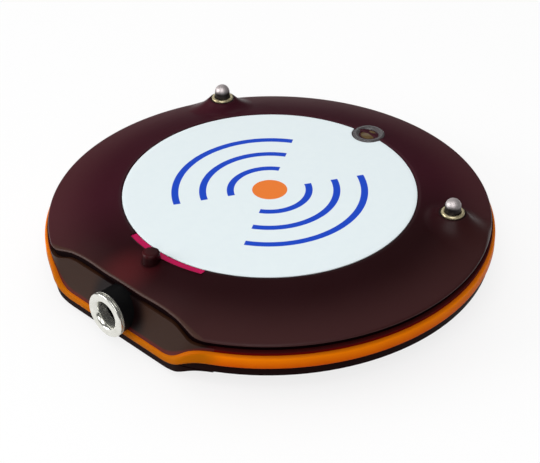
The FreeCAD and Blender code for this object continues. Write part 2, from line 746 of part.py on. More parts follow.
def jack_terminals():
    """Solder tabs that lead from the socket's back over the edge of the board."""
    tabs = []
    for x in TAB_X:
        low, high = TAB_Z
        x_low = x - TAB_WIDTH / 2
        x_high = x + TAB_WIDTH / 2
        tab = box(x_low, x_high, JACK_BACK_Y - TAB_ROOT, TAB_END_Y, low, high)
        foot = box(x_low, x_high, BOARD_JACK_Y, TAB_END_Y, BOARD_TOP_Z, high)
        tabs.append(tab.fuse(foot).removeSplitter())
    return Part.makeCompound(tabs)


def main_board():
    """The board rests on the lower posts, and the upper posts pass it in open notches."""
    board = disc_prism(BOARD_RADIUS, BOARD_FLAT_Y, 3.0, BOARD_LOW_Z, BOARD_TOP_Z)
    cuts = [box(-BOARD_JACK_HALF, BOARD_JACK_HALF, -FAR, BOARD_JACK_Y, 0, BODY_HEIGHT)]
    for angle in SCREW_ANGLES:
        x, y = ring_place(angle, SCREW_RADIUS)
        slot = box(0, BOARD_NOTCH_RADIUS * 3, -BOARD_NOTCH_RADIUS, BOARD_NOTCH_RADIUS, 0, BODY_HEIGHT)
        slot.rotate(vec(), vec(0, 0, 1), angle)
        slot.translate(vec(x, y, 0))
        cuts.append(slot)
        cuts.append(cylinder(BOARD_NOTCH_RADIUS, 0, BODY_HEIGHT, x, y))
    for cut in cuts:
        board = board.cut(cut)
    return board


def block_on_board(width, depth, height, x, y, base=BOARD_TOP_Z, angle=0.0):
    block = box(-width / 2, width / 2, -depth / 2, depth / 2, base, base + height)
    block.rotate(vec(), vec(0, 0, 1), angle)
    block.translate(vec(x, y, 0))
    return block


def rim_leds():
    """Side-firing lamps along the edge of the board, left out beside posts, contacts and socket."""
    width, depth, height = LED_SIZE
    keep_clear = post_places() + [(CONTACT_X, CONTACT_Y), (-CONTACT_X, CONTACT_Y)]
    leds = []
    for index in range(LED_COUNT):
        angle = (index + 0.5) * 360.0 / LED_COUNT
        x, y = ring_place(angle, LED_RADIUS)
        free = all(math.hypot(x - px, y - py) > LED_CLEARANCE for px, py in keep_clear)
        if free and y > BOARD_FLAT_Y + depth:
            leds.append(block_on_board(width, depth, height, x, y, angle=angle + 90))
    for side in (-1, 1):
        leds.append(block_on_board(width, depth, height, side * FLAT_LED_X, BOARD_FLAT_Y + depth))
    return Part.makeCompound(leds)


def processor_chip():
    """A flat chip with a row of leads along each side."""
    half = CHIP_SIZE / 2
    body = block_on_board(CHIP_SIZE, CHIP_SIZE, CHIP_HEIGHT, *CHIP_PLACE, base=BOARD_TOP_Z + 0.1)
    leads = []
    for index in range(CHIP_LEADS):
        along = (index - (CHIP_LEADS - 1) / 2) * CHIP_PITCH
        for side in (-1, 1):
            x, y = CHIP_PLACE
            reach = half + LEAD_LENGTH / 2
            leads.append(block_on_board(LEAD_WIDTH, LEAD_LENGTH, 0.5, x + along, y + side * reach))
            leads.append(block_on_board(LEAD_LENGTH, LEAD_WIDTH, 0.5, x + side * reach, y + along))
    return Part.makeCompound([body] + leads)


def radio_board():
    return block_on_board(*RADIO_SIZE, *RADIO_PLACE)


def radio_shield():
    """A folded metal can over the radio, open below."""
    base = BOARD_TOP_Z + RADIO_SIZE[2]
    x, y = RADIO_PLACE
    outer = block_on_board(*SHIELD_SIZE, x, y, base=base)
    width, depth, height = (SHIELD_SIZE[0] - 0.6, SHIELD_SIZE[1] - 0.6, SHIELD_SIZE[2] - 0.3)
    upright = [e for e in outer.Edges if e.BoundBox.ZLength > height]
    outer = outer.makeFillet(0.8, upright)
    return outer.cut(block_on_board(width, depth, height, x, y, base=base))


def antenna():
    """A coil aerial that lies along the board, beside the radio."""
    aerial = coil(ANTENNA_RADIUS, ANTENNA_WIRE, ANTENNA_TURNS, ANTENNA_LENGTH)
    aerial.rotate(vec(), vec(0, 1, 0), 90)
    lift = BOARD_TOP_Z + ANTENNA_RADIUS + ANTENNA_WIRE + 0.05
    aerial.translate(vec(ANTENNA_PLACE[0], ANTENNA_PLACE[1], lift))
    return aerial


def small_components():
    """Rows of chip resistors and capacitors, one coil and one crystal."""
    parts = []
    for row in range(COMPONENT_ROWS):
        for column in range(COMPONENT_COLUMNS):
            x = COMPONENT_PLACE[0] + column * COMPONENT_PITCH
            y = COMPONENT_PLACE[1] + row * COMPONENT_PITCH
            turn = 90.0 * ((row + column) % 2)
            parts.append(block_on_board(2.0, 1.2, 0.7, x, y, angle=turn))
    parts.append(block_on_board(5.0, 5.0, 2.4, *COIL_PLACE))
    parts.append(block_on_board(5.0, 3.2, 1.2, *CRYSTAL_PLACE))
    return Part.makeCompound(parts)


def buzzer():
    """A round sounder with a small hole in its top."""
    top = BOARD_TOP_Z + BUZZER_HEIGHT
    profile = [
        (0.0, BOARD_TOP_Z),
        (BUZZER_RADIUS, BOARD_TOP_Z),
        (BUZZER_RADIUS, top),
        (BUZZER_HOLE_RADIUS, top),
        (BUZZER_HOLE_RADIUS, top - BUZZER_HOLE_DEPTH),
        (0.0, top - BUZZER_HOLE_DEPTH),
    ]
    return turned(profile, *BUZZER_PLACE)


def along_motor(radius, start, end):
    """A round bar on the motor's own axis, which runs along X."""
    x, y = MOTOR_PLACE
    return Part.makeCylinder(radius, end - start, vec(x + start, y, MOTOR_Z), vec(1, 0, 0))


def vibration_motor():
    """The motor can with a bearing collar, bored for its shaft."""
    can = along_motor(MOTOR_RADIUS, 0.0, MOTOR_LENGTH).fuse(along_motor(1.2, MOTOR_LENGTH, MOTOR_LENGTH + 0.6))
    return can.cut(along_motor(SHAFT_RADIUS + PIN_RUNNING_GAP, SHAFT_START, MOTOR_LENGTH + 1.0))


def motor_bracket():
    """A saddle that cradles the lower half of the motor on the board."""
    x, y = MOTOR_PLACE
    height = MOTOR_Z - BOARD_TOP_Z
    saddle = block_on_board(BRACKET_LENGTH, 2 * MOTOR_RADIUS + 1.4, height, x + MOTOR_LENGTH / 2, y)
    return saddle.cut(along_motor(MOTOR_RADIUS, -1.0, MOTOR_LENGTH + 1.0))


def motor_shaft():
    return along_motor(SHAFT_RADIUS, SHAFT_START + 0.3, WEIGHT_END)


def eccentric_weight():
    """A half-round weight on the end of the shaft, with its hub."""
    x, y = MOTOR_PLACE
    disc = along_motor(WEIGHT_RADIUS, WEIGHT_START, WEIGHT_END)
    half_space = box(x, x + WEIGHT_END + 1, y - 5, y + 5, MOTOR_Z + 0.2, MOTOR_Z + 5)
    hub = along_motor(1.1, WEIGHT_START, WEIGHT_END)
    return disc.cut(half_space).fuse(hub).removeSplitter().cut(along_motor(SHAFT_RADIUS, 0, WEIGHT_END + 1))


def battery_pack():
    """A flat cell with rounded long edges, under the board."""
    cell = block_on_board(*BATTERY_SIZE, *BATTERY_PLACE, base=BATTERY_Z)
    long_edges = [e for e in cell.Edges if abs(e.BoundBox.YLength - BATTERY_SIZE[1]) < 0.1]
    return cell.makeFillet(1.8, long_edges)


def battery_pad():
    height = BATTERY_Z - FACE_WALL
    return block_on_board(*PAD_SIZE, height, *BATTERY_PLACE, base=FACE_WALL)


def battery_connector():
    base = BOARD_LOW_Z - CONNECTOR_SIZE[2]
    return block_on_board(*CONNECTOR_SIZE, *CONNECTOR_PLACE, base=base)


def battery_leads():
    """Two short straight wires from the cell's end to its connector."""
    start_y = BATTERY_PLACE[1] + BATTERY_SIZE[1] / 2
    end_y = CONNECTOR_PLACE[1] - CONNECTOR_SIZE[1] / 2
    wire = rod_along_y(WIRE_RADIUS, start_y, end_y, LEAD_Z)
    wire.translate(vec(LEAD_SPACING / 2, 0, 0))
    return Part.makeCompound(both_sides(wire))


def case_screws():
    """Five pan-head screws that enter from below, each with a cross recess."""
    screws = []
    for x, y in post_places():
        head_high = SCREW_SEAT_Z
        screw = cylinder(SCREW_HEAD_RADIUS, SCREW_HEAD_Z, head_high, x, y)
        screw = screw.fuse(cylinder(SCREW_SHANK_RADIUS, head_high, SCREW_END_Z, x, y))
        for angle in (45, 135):
            slot = box(-CROSS_LENGTH / 2, CROSS_LENGTH / 2, -CROSS_WIDTH / 2, CROSS_WIDTH / 2, 0, CROSS_DEPTH)
            slot.rotate(vec(), vec(0, 0, 1), angle)
            slot.translate(vec(x, y, SCREW_HEAD_Z))
            screw = screw.cut(slot)
        screws.append(screw)
    return Part.makeCompound(screws)


def build():
    """Every piece by its node's name."""
    nodes = {
        "upper_shell": upper_shell(),
        "lower_shell": lower_shell(),
        "bumper_band": bumper_band(),
        "top_label": top_label(),
        "underside_inlay": underside_inlay(),
        "window_bezel": window_bezel(),
        "window_receiver": window_receiver(),
        "jack_body": jack_body(),
        "jack_ferrule": jack_ferrule(),
        "jack_centre_pin": jack_centre_pin(),
        "jack_terminals": jack_terminals(),
        "main_board": main_board(),
        "rim_leds": rim_leds(),
        "processor_chip": processor_chip(),
        "radio_board": radio_board(),
        "radio_shield": radio_shield(),
        "antenna": antenna(),
        "small_components": small_components(),
        "buzzer": buzzer(),
        "vibration_motor": vibration_motor(),
        "motor_bracket": motor_bracket(),
        "motor_shaft": motor_shaft(),
        "eccentric_weight": eccentric_weight(),
        "battery_pack": battery_pack(),
        "battery_pad": battery_pad(),
        "battery_connector": battery_connector(),
        "battery_leads": battery_leads(),
        "case_screws": case_screws(),
    }
    paired = {
        "contact_barrel": contact_barrel(),
        "contact_pin": contact_pin(),
        "contact_spring": contact_spring(),
        "charge_cup": charge_cup(),
    }
    for name, solid in paired.items():
        right, left = both_sides(solid)
        nodes["right_" + name] = right
        nodes["left_" + name] = left
    return nodes


def main():
    os.makedirs("parts", exist_ok=True)
    for name, shape in build().items():
        shape.exportStep(f"parts/{name}.step")
        solids = shape.Solids
        print(f"{name}: {len(solids)} solid(s), valid {shape.isValid()}, {sum(s.Volume for s in solids):.1f} mm3")


main()
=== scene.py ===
"""Looks of a rechargeable disc pager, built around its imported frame.

The disc lies on its base. Its top carries a printed label in a round recess, a status window, a stacking
peg and two spring contacts on small mounds. The flat side carries the charging socket, and an amber band
runs round the rim and dips below the socket. Sizes are in millimetres in the classes below and become
metres where a mesh is made.
"""

import json
import logging
import math
from dataclasses import dataclass
from enum import Enum

import bpy
import numpy as np
from mathutils import Matrix, Vector


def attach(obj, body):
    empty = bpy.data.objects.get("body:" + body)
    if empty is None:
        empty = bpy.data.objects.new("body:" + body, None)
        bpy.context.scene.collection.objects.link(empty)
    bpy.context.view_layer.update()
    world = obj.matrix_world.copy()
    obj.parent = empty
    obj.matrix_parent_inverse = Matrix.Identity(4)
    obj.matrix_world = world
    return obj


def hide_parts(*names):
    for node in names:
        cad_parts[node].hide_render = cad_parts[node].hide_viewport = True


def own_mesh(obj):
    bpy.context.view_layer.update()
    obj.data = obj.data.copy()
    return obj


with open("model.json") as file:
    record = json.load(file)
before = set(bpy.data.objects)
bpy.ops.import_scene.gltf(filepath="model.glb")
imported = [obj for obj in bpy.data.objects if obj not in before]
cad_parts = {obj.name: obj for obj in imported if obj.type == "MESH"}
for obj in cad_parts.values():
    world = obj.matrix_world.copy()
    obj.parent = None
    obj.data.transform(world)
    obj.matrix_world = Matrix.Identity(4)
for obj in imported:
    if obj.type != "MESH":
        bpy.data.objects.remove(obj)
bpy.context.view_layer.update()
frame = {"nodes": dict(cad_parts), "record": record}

LOG = logging.getLogger("pager")
MM = 0.001
CASE = "case"
Array = np.ndarray

# Places that several classes share, in millimetres. Levels that dip are (beyond the dip, inside it)
BAND_TOP = (10.15, 5.3)
DIP_START = 15.0
DIP_END = 27.5
FLAT_ZONE = -42.0
CONTACT = (38.4, 21.5)
PEG = (0.6, -38.4)
SOCKET_Z = 8.75
WINDOW_Y = 35.5


class Side(Enum):
    """The two sides that carry a contact, with the sign of their X."""

    LEFT = -1
    RIGHT = 1


# Meshes


def mesh_piece(
    name: str, points: Array, faces: list[tuple[int, ...]], smooth_angle: float = 35.0
) -> bpy.types.Object:
    """Make an object of a mesh, with its place in the mesh.

    Args:
        name: Name of the piece.
        points: Vertices in millimetres, one row each.
        faces: Vertex numbers of each face.
        smooth_angle: Edges sharper than this, in degrees, stay sharp.

    Returns:
        The new object, at the origin.
    """
    mesh = bpy.data.meshes.new(name)
    mesh.from_pydata((points * MM).tolist(), [], faces)
    mesh.validate()
    piece = bpy.data.objects.new(name, mesh)
    bpy.context.scene.collection.objects.link(piece)
    mesh.shade_smooth()
    mesh.set_sharp_from_angle(angle=math.radians(smooth_angle))
    return piece


def ring_faces(rows: int, columns: int, offset: int = 0) -> list[tuple[int, ...]]:
    """Quads between neighbouring rows of a grid that closes on itself along each row.

    Args:
        rows: Number of rows.
        columns: Number of points in a row.
        offset: Number of the grid's first vertex.

    Returns:
        The quads, facing outwards when rows rise and columns run anticlockwise.
    """
    row, column = np.meshgrid(np.arange(rows - 1), np.arange(columns), indexing="ij")
    following = (column + 1) % columns
    low = offset + row * columns
    high = low + columns
    quads = np.stack([low + column, low + following, high + following, high + column], axis=-1)
    return [tuple(quad) for quad in quads.reshape(-1, 4).tolist()]


def closed_grid(
    name: str, grid: Array, smooth_angle: float = 35.0, second: Array | None = None
) -> bpy.types.Object:
    """A body from rows that each run round its axis, closed by a pole at the first and at the last row.

    Args:
        name: Name of the piece.
        grid: Points in millimetres, as rows, columns and coordinates.
        smooth_angle: Edges sharper than this stay sharp.
        second: One value for each quad, in rows and columns, true where it takes the second finish.

    Returns:
        The finished object.
    """
    rows, columns, _ = grid.shape
    start = grid[0].mean(axis=0)
    end = grid[-1].mean(axis=0)
    points = np.concatenate([grid.reshape(-1, 3), [start, end]])
    first_pole = rows * columns
    last_pole = first_pole + 1
    last_row = (rows - 1) * columns
    faces = ring_faces(rows, columns)
    faces += [(first_pole, (i + 1) % columns, i) for i in range(columns)]
    faces += [(last_pole, last_row + i, last_row + (i + 1) % columns) for i in range(columns)]
    piece = mesh_piece(name, points, faces, smooth_angle)
    if second is not None:
        finish = np.zeros(len(faces), dtype=np.int32)
        finish[: second.size] = second.ravel()
        piece.data.polygons.foreach_set("material_index", finish)
    return piece


def looped_grid(name: str, grid: Array, smooth_angle: float = 35.0) -> bpy.types.Object:
    """A ring-shaped body: rows run round its axis, and the last row joins the first.

    Args:
        name: Name of the piece.
        grid: Points in millimetres, as rows, columns and coordinates.
        smooth_angle: Edges sharper than this stay sharp.

    Returns:
        The finished object.
    """
    closed = np.concatenate([grid, grid[:1]])
    rows, columns, _ = closed.shape
    faces = ring_faces(rows, columns)
    count = (rows - 1) * columns
    faces = [tuple(corner % count for corner in face) for face in faces]
    return mesh_piece(name, grid.reshape(-1, 3), faces, smooth_angle)


def rounded(profile: list[tuple[float, float, float]], steps: int = 5) -> Array:
    """Round the corners of an open profile.

    Each corner is cut back by its own radius along both of its sides, and a parabola joins the two cuts.

    Args:
        profile: Points as (across, along, corner radius).
        steps: Points put along each rounded corner.

    Returns:
        The rounded profile as rows of (across, along).
    """
    points = np.array([p[:2] for p in profile])
    share = np.linspace(0.0, 1.0, steps)[:, None]
    parts = [points[:1]]
    for index in range(1, len(profile) - 1):
        corner = points[index]
        radius = profile[index][2]
        if radius <= 0.0:
            parts.append(corner[None])
            continue
        back = points[index - 1] - corner
        ahead = points[index + 1] - corner
        start = corner + back / np.linalg.norm(back) * min(radius, np.linalg.norm(back) * 0.5)
        end = corner + ahead / np.linalg.norm(ahead) * min(radius, np.linalg.norm(ahead) * 0.5)
        parts.append((1 - share) ** 2 * start + 2 * share * (1 - share) * corner + share**2 * end)
    parts.append(points[-1:])
    return np.concatenate(parts)


def turned(
    name: str,
    profile: Array,
    centre: tuple[float, float, float],
    columns: int = 96,
    axis: str = "Z",
    ring: bool = False,
) -> bpy.types.Object:
    """A turned body: each profile point (radius, height) is carried round the axis.

    Args:
        name: Name of the piece.
        profile: Rows of (radius, height), running so that the outside lies to their right.
        centre: Place of the profile's zero, in millimetres.
        columns: Points round the axis.
        axis: "Z", or "-Y" for a body whose height runs out of the flat side.
        ring: True if the profile closes on itself and leaves the axis free.

    Returns:
        The finished object.
    """
    angle = np.linspace(0.0, 2 * math.pi, columns, endpoint=False)
    radius = profile[:, 0][:, None]
    height = np.broadcast_to(profile[:, 1][:, None], (len(profile), columns))
    across = radius * np.cos(angle)
    other = radius * np.sin(angle)
    if axis == "Z":
        grid = np.stack([across, other, height], axis=-1)
    else:
        grid = np.stack([across, -height, other], axis=-1)
    grid = grid + np.array(centre)
    return looped_grid(name, grid) if ring else closed_grid(name, grid)


# Shader maths

OCTAVE_WEIGHT = 0.5


class Signal:
    """A shader socket or a number on which plain arithmetic adds Math nodes."""

    def __init__(self, shade: "Tree", source: object) -> None:
        """Keep the socket and the tree that new nodes go into."""
        self.shade = shade
        self.source = source

    def _with(self, operation: str, *others: object) -> "Signal":
        """Add one Math node on this value and the others."""
        return self.shade.maths(operation, self, *others)

    def __add__(self, other: object) -> "Signal":
        """Sum."""
        return self._with("ADD", other)

    __radd__ = __add__

    def __sub__(self, other: object) -> "Signal":
        """Difference."""
        return self._with("SUBTRACT", other)

    def __rsub__(self, other: object) -> "Signal":
        """Difference the other way round."""
        return self.shade.maths("SUBTRACT", other, self)

    def __mul__(self, other: object) -> "Signal":
        """Product."""
        return self._with("MULTIPLY", other)

    __rmul__ = __mul__

    def __truediv__(self, other: object) -> "Signal":
        """Quotient."""
        return self._with("DIVIDE", other)

    def __pow__(self, other: object) -> "Signal":
        """Power."""
        return self._with("POWER", other)

    def most(self, other: object) -> "Signal":
        """The larger of the two."""
        return self._with("MAXIMUM", other)

    def size(self) -> "Signal":
        """The value without its sign."""
        return self._with("ABSOLUTE")

    def root(self) -> "Signal":
        """Square root."""
        return self._with("SQRT")

    def below(self, edge: float, soft: float) -> "Signal":
        """One where the value is below the edge and zero above it, over a soft step.

        Args:
            edge: Value at the middle of the step.
            soft: Width of the step.

        Returns:
            A mask from zero to one.
        """
        settings = {"interpolation_type": "SMOOTHSTEP"}
        inputs = {0: self, 1: edge - soft / 2, 2: edge + soft / 2, 3: 1.0, 4: 0.0}
        return self.shade.node("ShaderNodeMapRange", settings, inputs).signal(0)


class Node:
    """A shader node that was added, with its outputs."""

    def __init__(self, shade: "Tree", node: bpy.types.Node) -> None:
        """Keep the node."""
        self.shade = shade
        self.node = node

    def signal(self, output: int | str = 0) -> Signal:
        """One output of the node."""
        return Signal(self.shade, self.node.outputs[output])


class Tree:
    """A node tree while it is being written."""

    def __init__(self, tree: bpy.types.NodeTree) -> None:
        """Start with an empty tree."""
        self.tree = tree
        self.tree.nodes.clear()

    def _feed(self, socket: bpy.types.NodeSocket, value: object) -> None:
        """Link a signal to a socket, or write a plain value on it."""
        if isinstance(value, Signal):
            self.tree.links.new(value.source, socket)
        elif isinstance(value, tuple) and socket.type == "RGBA" and len(value) == 3:
            socket.default_value = (*value, 1.0)
        else:
            socket.default_value = value

    def node(self, kind: str, settings: dict | None = None, inputs: dict | None = None) -> Node:
        """Add any node.

        Args:
            kind: Type of the node.
            settings: Properties of the node, which are set first.
            inputs: Values or signals by the socket's name or number.

        Returns:
            The node.
        """
        node = self.tree.nodes.new(kind)
        for key, value in (settings or {}).items():
            setattr(node, key, value)
        for key, value in (inputs or {}).items():
            self._feed(node.inputs[key], value)
        return Node(self, node)

    def maths(self, operation: str, *values: object) -> Signal:
        """Add one Math node on values or signals."""
        return self.node("ShaderNodeMath", {"operation": operation}, dict(enumerate(values))).signal()

    def mix(self, factor: object, first: object, second: object) -> Signal:
        """Mix two colours."""
        settings = {"data_type": "RGBA", "clamp_factor": True}
        return self.node("ShaderNodeMix", settings, {0: factor, 6: first, 7: second}).signal(2)

    def split(self, vector: Signal) -> tuple[Signal, Signal, Signal]:
        """The three parts of a vector."""
        node = self.node("ShaderNodeSeparateXYZ", inputs={0: vector})
        return tuple(node.signal(index) for index in range(3))


class Shade(Tree):
    """A material's node tree while it is being written."""

    def __init__(self, name: str) -> None:
        """Start a material with one Principled shader."""
        self.material = bpy.data.materials.new(name)
        self.material.use_nodes = True
        super().__init__(self.material.node_tree)
        self.output = self.node("ShaderNodeOutputMaterial").node
        self.surface = self.node("ShaderNodeBsdfPrincipled").node
        self.tree.links.new(self.surface.outputs[0], self.output.inputs["Surface"])
        self.place = self.node("ShaderNodeTexCoord").signal("Object")

    def axes(self, millimetres: bool = True) -> tuple[Signal, Signal, Signal]:
        """The three Object coordinates as signals.

        Args:
            millimetres: True for millimetres, False for metres.

        Returns:
            X, Y and Z.
        """
        scale = 1 / MM if millimetres else 1.0
        return tuple(part * scale for part in self.split(self.place))

    def noise(self, scale: float, detail: float, stretch: tuple | None = None) -> Signal:
        """Noise over Object coordinates.

        Args:
            scale: Features per metre.
            detail: Octaves.
            stretch: Scale of each axis, or None.

        Returns:
            A value about one half.
        """
        place = self.place
        if stretch is not None:
            place = self.node("ShaderNodeMapping", inputs={"Vector": place, "Scale": stretch}).signal()
        inputs = {"Vector": place, "Scale": scale, "Detail": detail, "Roughness": OCTAVE_WEIGHT}
        return self.node("ShaderNodeTexNoise", inputs=inputs).signal(0)

    def bump(self, height: Signal, strength: float, distance: float) -> Signal:
        """A bumped normal from a height."""
        inputs = {"Strength": strength, "Distance": distance, "Height": height}
        return self.node("ShaderNodeBump", inputs=inputs).signal()

    def finish(self, **sockets: object) -> bpy.types.Material:
        """Feed the Principled shader by socket name, with spaces written as underscores.

        Returns:
            The material.
        """
        for name, value in sockets.items():
            self._feed(self.surface.inputs[name.replace("_", " ")], value)
        return self.material


def dipping(x: Signal, y: Signal, round_z: float, flat_z: float) -> Signal:
    """Height of a line that dips below the socket, for a finish that follows the band.

    Args:
        x: Places across the flat side, in millimetres.
        y: Places along the disc.
        round_z: Height beyond the dip.
        flat_z: Height inside it.

    Returns:
        The height.
    """
    dipped = x.size().below((DIP_START + DIP_END) / 2, DIP_END - DIP_START) * y.below(FLAT_ZONE, 1.0)
    return round_z - (round_z - flat_z) * dipped


def shown(red: int, green: int, blue: int) -> tuple[float, float, float]:
    """Linear colour from screen values of 0 to 255."""
    values = np.array([red, green, blue]) / 255
    linear = np.where(values <= 0.04045, values / 12.92, ((values + 0.055) / 1.055) ** 2.4)
    return tuple(float(v) for v in linear)


# Finishes


@dataclass(frozen=True)
class SmokedPlastic:
    """Dark see-through plastic with a fine moulded grain, with a painted red glow in the lip that lies on the
    amber band.
    """

    name: str = "smoked_red_plastic"
    deep: tuple = shown(33, 3, 6)
    warm: tuple = shown(54, 8, 23)
    # Painted rim light: the dome grows lighter towards its rim
    edge: tuple = shown(98, 60, 58)
    rim_light_share: float = 0.24
    rim_light_radius: float = 46.0
    rim_light_soft: float = 14.0
    # Painted glow: a lighter reddish patch on the dome above the socket
    painted_glow: tuple = shown(128, 30, 36)
    painted_glow_place: tuple = (-2.0, -43.5)
    painted_glow_reach: tuple = (5.0, 8.0)
    painted_glow_share: float = 0.2
    # Lighter brown of the flat wall, partly a painted reflection of the pale floor
    wall: tuple = shown(45, 23, 11)
    wall_high: tuple = (11.7, 13.3)
    # Colour of the painted shadows
    foot: tuple = shown(14, 3, 4)
    peg: tuple = PEG
    peg_reach: float = 2.3
    peg_side: float = 18.7
    peg_shadow: float = 0.75
    contact: tuple = CONTACT
    contact_reach: float = 3.2
    contact_shadow: float = 0.9
    socket_z: float = SOCKET_Z
    socket_reach: float = 8.2
    socket_soft: float = 3.4
    socket_shadow: float = 0.95
    corner_x: float = 25.5
    # Painted highlight along the top edge of the flat side
    brow: tuple = shown(64, 40, 33)
    painted_highlight_y: float = -46.1
    # Painted red glow of the lip next to the band
    glow: tuple = shown(112, 4, 3)
    # Painted light: along this direction the shell's far-left side is mixed towards the lighter tone
    painted_light_side: tuple = (-0.79, 0.61)
    painted_light_edge: float = -9.0
    painted_light_soft: float = 34.0
    glow_rise: float = 0.8
    band: tuple = BAND_TOP

    def material(self) -> bpy.types.Material:
        """Build the material.

        The lip's painted red glow runs from the band's top edge up to a little above it. That edge follows
        the dip, so its height is worked out from X where Y lies on the flat side.
        """
        shade = Shade(self.name)
        x, y, z = shade.axes()
        clouds = shade.noise(30.0, 3.0)
        streaks = shade.noise(60.0, 2.0)
        # Painted light: lighter towards the far-left side, with random clouds in the tone
        along = x * self.painted_light_side[0] + y * self.painted_light_side[1]
        painted_side_light = 1 - along.below(self.painted_light_edge, self.painted_light_soft)
        body = shade.mix(painted_side_light + (clouds - 0.5) * 0.5, self.deep, self.warm)
        # Painted rim light: lighter towards the rim
        distance = (x * x + y * y).root()
        outwards = 1 - distance.below(self.rim_light_radius, self.rim_light_soft)
        body = shade.mix(outwards * self.rim_light_share, body, self.edge)
        # Painted glow patch above the socket
        away = ((x - self.painted_glow_place[0]) ** 2 + (y - self.painted_glow_place[1]) ** 2).root()
        body = shade.mix(away.below(*self.painted_glow_reach) * self.painted_glow_share, body, self.painted_glow)
        above = z - dipping(x, y, *self.band)
        flat = y.below(FLAT_ZONE, 1.0)
        # Painted highlight strip along the flat side's top edge
        body = shade.mix(y.below(self.painted_highlight_y, 0.4) * x.size().below(self.corner_x, 4.0), body, self.brow)
        # The flat wall takes its lighter brown, partly a painted reflection of the floor
        wall = (z - dipping(x, y, *self.wall_high)).below(0.0, 0.3) * flat * (1 - above.below(0.0, 0.2))
        body = shade.mix(wall, body, self.wall)
        # Painted shadows: on the peg's side and round its foot, round each contact sleeve and on the flat
        # wall round the socket. The flat wall also fades to the same dark towards its corners
        peg = ((x - self.peg[0]) ** 2 + (y - self.peg[1]) ** 2).root()
        contact = ((x.size() - self.contact[0]) ** 2 + (y - self.contact[1]) ** 2).root()
        socket = (x * x + (z - self.socket_z) ** 2).root()
        shadow = peg.below(self.peg_reach, 1.0) * z.below(self.peg_side, 1.0) * self.peg_shadow
        shadow = shadow.most(contact.below(self.contact_reach, 0.5) * self.contact_shadow)
        shadow = shadow.most(socket.below(self.socket_reach, self.socket_soft) * wall * self.socket_shadow)
        shadow = shadow.most((1 - x.size().below(self.corner_x, 3.0)) * wall)
        body = shade.mix(shadow, body, self.foot)
        # Painted glow: the lip turns red just above the band's top edge
        lip = above.below(self.glow_rise, 0.7) * (1 - above.below(-0.3, 0.2)) * (1 - flat * 0.6)
        body = shade.mix(lip, body, self.glow)
        grain = shade.noise(2600.0, 2.0)
        scuffs = shade.noise(900.0, 2.0, stretch=(1.0, 0.12, 1.0))
        roughness = 0.33 + streaks * 0.1 + (scuffs - 0.5) * 0.06
        normal = shade.bump(grain, 0.14, 0.0001)
        return shade.finish(
            Base_Color=body,
            Roughness=roughness,
            Specular_IOR_Level=0.16,
            Normal=normal,
        )


@dataclass(frozen=True)
class ShadowedLip:
    """The gap under the upper shell's edge, painted near black as shade, and the lip below it with a painted
    red glow next to the band.
    """

    name: str = "shadowed_lip"
    # Painted shade: near black in the gap
    gap: tuple = shown(12, 1, 2)
    dark: tuple = shown(52, 13, 14)
    # Painted red glow of the lip next to the band
    glow: tuple = shown(100, 3, 0)
    band: tuple = BAND_TOP
    height: float = 0.95

    def material(self) -> bpy.types.Material:
        """Build the material."""
        shade = Shade(self.name)
        x, y, z = shade.axes()
        above = z - dipping(x, y, *self.band)
        streaks = shade.noise(90.0, 2.0)
        share = above.below(self.height / 2, self.height) + (streaks - 0.5) * 0.3
        lip = shade.mix(share, self.dark, self.glow)
        return shade.finish(
            # Painted shade in the gap, painted glow on the lip
            Base_Color=shade.mix(above.below(self.height, 0.05), self.gap, lip),
            Roughness=0.6 + (streaks - 0.5) * 0.1,
            Specular_IOR_Level=0.02,
        )


@dataclass(frozen=True)
class SmokedBase:
    """Dark plastic of the lower half. Its rim and two windows by the flat side carry a painted red glow of
    light let through, and its side wall is darker with painted shade.
    """

    name: str = "smoked_base_plastic"
    body: tuple = shown(42, 19, 18)
    second: tuple = shown(32, 14, 14)
    # Painted shade: the side wall under the band is darker
    wall: tuple = shown(24, 9, 9)
    wall_radius: float = 52.9
    wall_flat: float = 48.9
    # Painted red glow of light let through the rim
    rim: tuple = shown(122, 34, 33)
    rim_radius: float = 48.3
    lip: tuple = shown(92, 42, 39)
    lip_y: float = -45.0
    # Painted red glow of light let through the two windows
    window: tuple = shown(128, 8, 18)
    window_x: tuple = (8.2, 26.0)
    window_y: float = -40.8

    def material(self) -> bpy.types.Material:
        """Build the material."""
        shade = Shade(self.name)
        x, y, z = shade.axes()
        clouds = shade.noise(40.0, 3.0)
        distance = (x * x + y * y).root()
        body = shade.mix(clouds * 1.4 - 0.2, self.body, self.second)
        body = shade.mix(y.below(self.lip_y, 1.0), body, self.lip)
        # Painted red glow in the two windows
        beside = x.size().below(self.window_x[1], 4.0) * (1 - x.size().below(self.window_x[0], 0.8))
        window = beside * y.below(self.window_y, 0.8) * (1 - y.below(self.lip_y, 0.8))
        body = shade.mix(window, body, self.window)
        # Painted red glow at the rim, then painted shade on the side wall
        body = shade.mix(1 - distance.below(self.rim_radius, 1.2), body, self.rim)
        wall = (1 - distance.below(self.wall_radius, 0.3)).most(y.below(-self.wall_flat, 0.3))
        body = shade.mix(wall, body, self.wall)
        grain = shade.noise(2600.0, 2.0)
        return shade.finish(
            Base_Color=body,
            Roughness=0.42 + (clouds - 0.5) * 0.12,
            Specular_IOR_Level=0.02,
            Normal=shade.bump(grain, 0.14, 0.0001),
        )


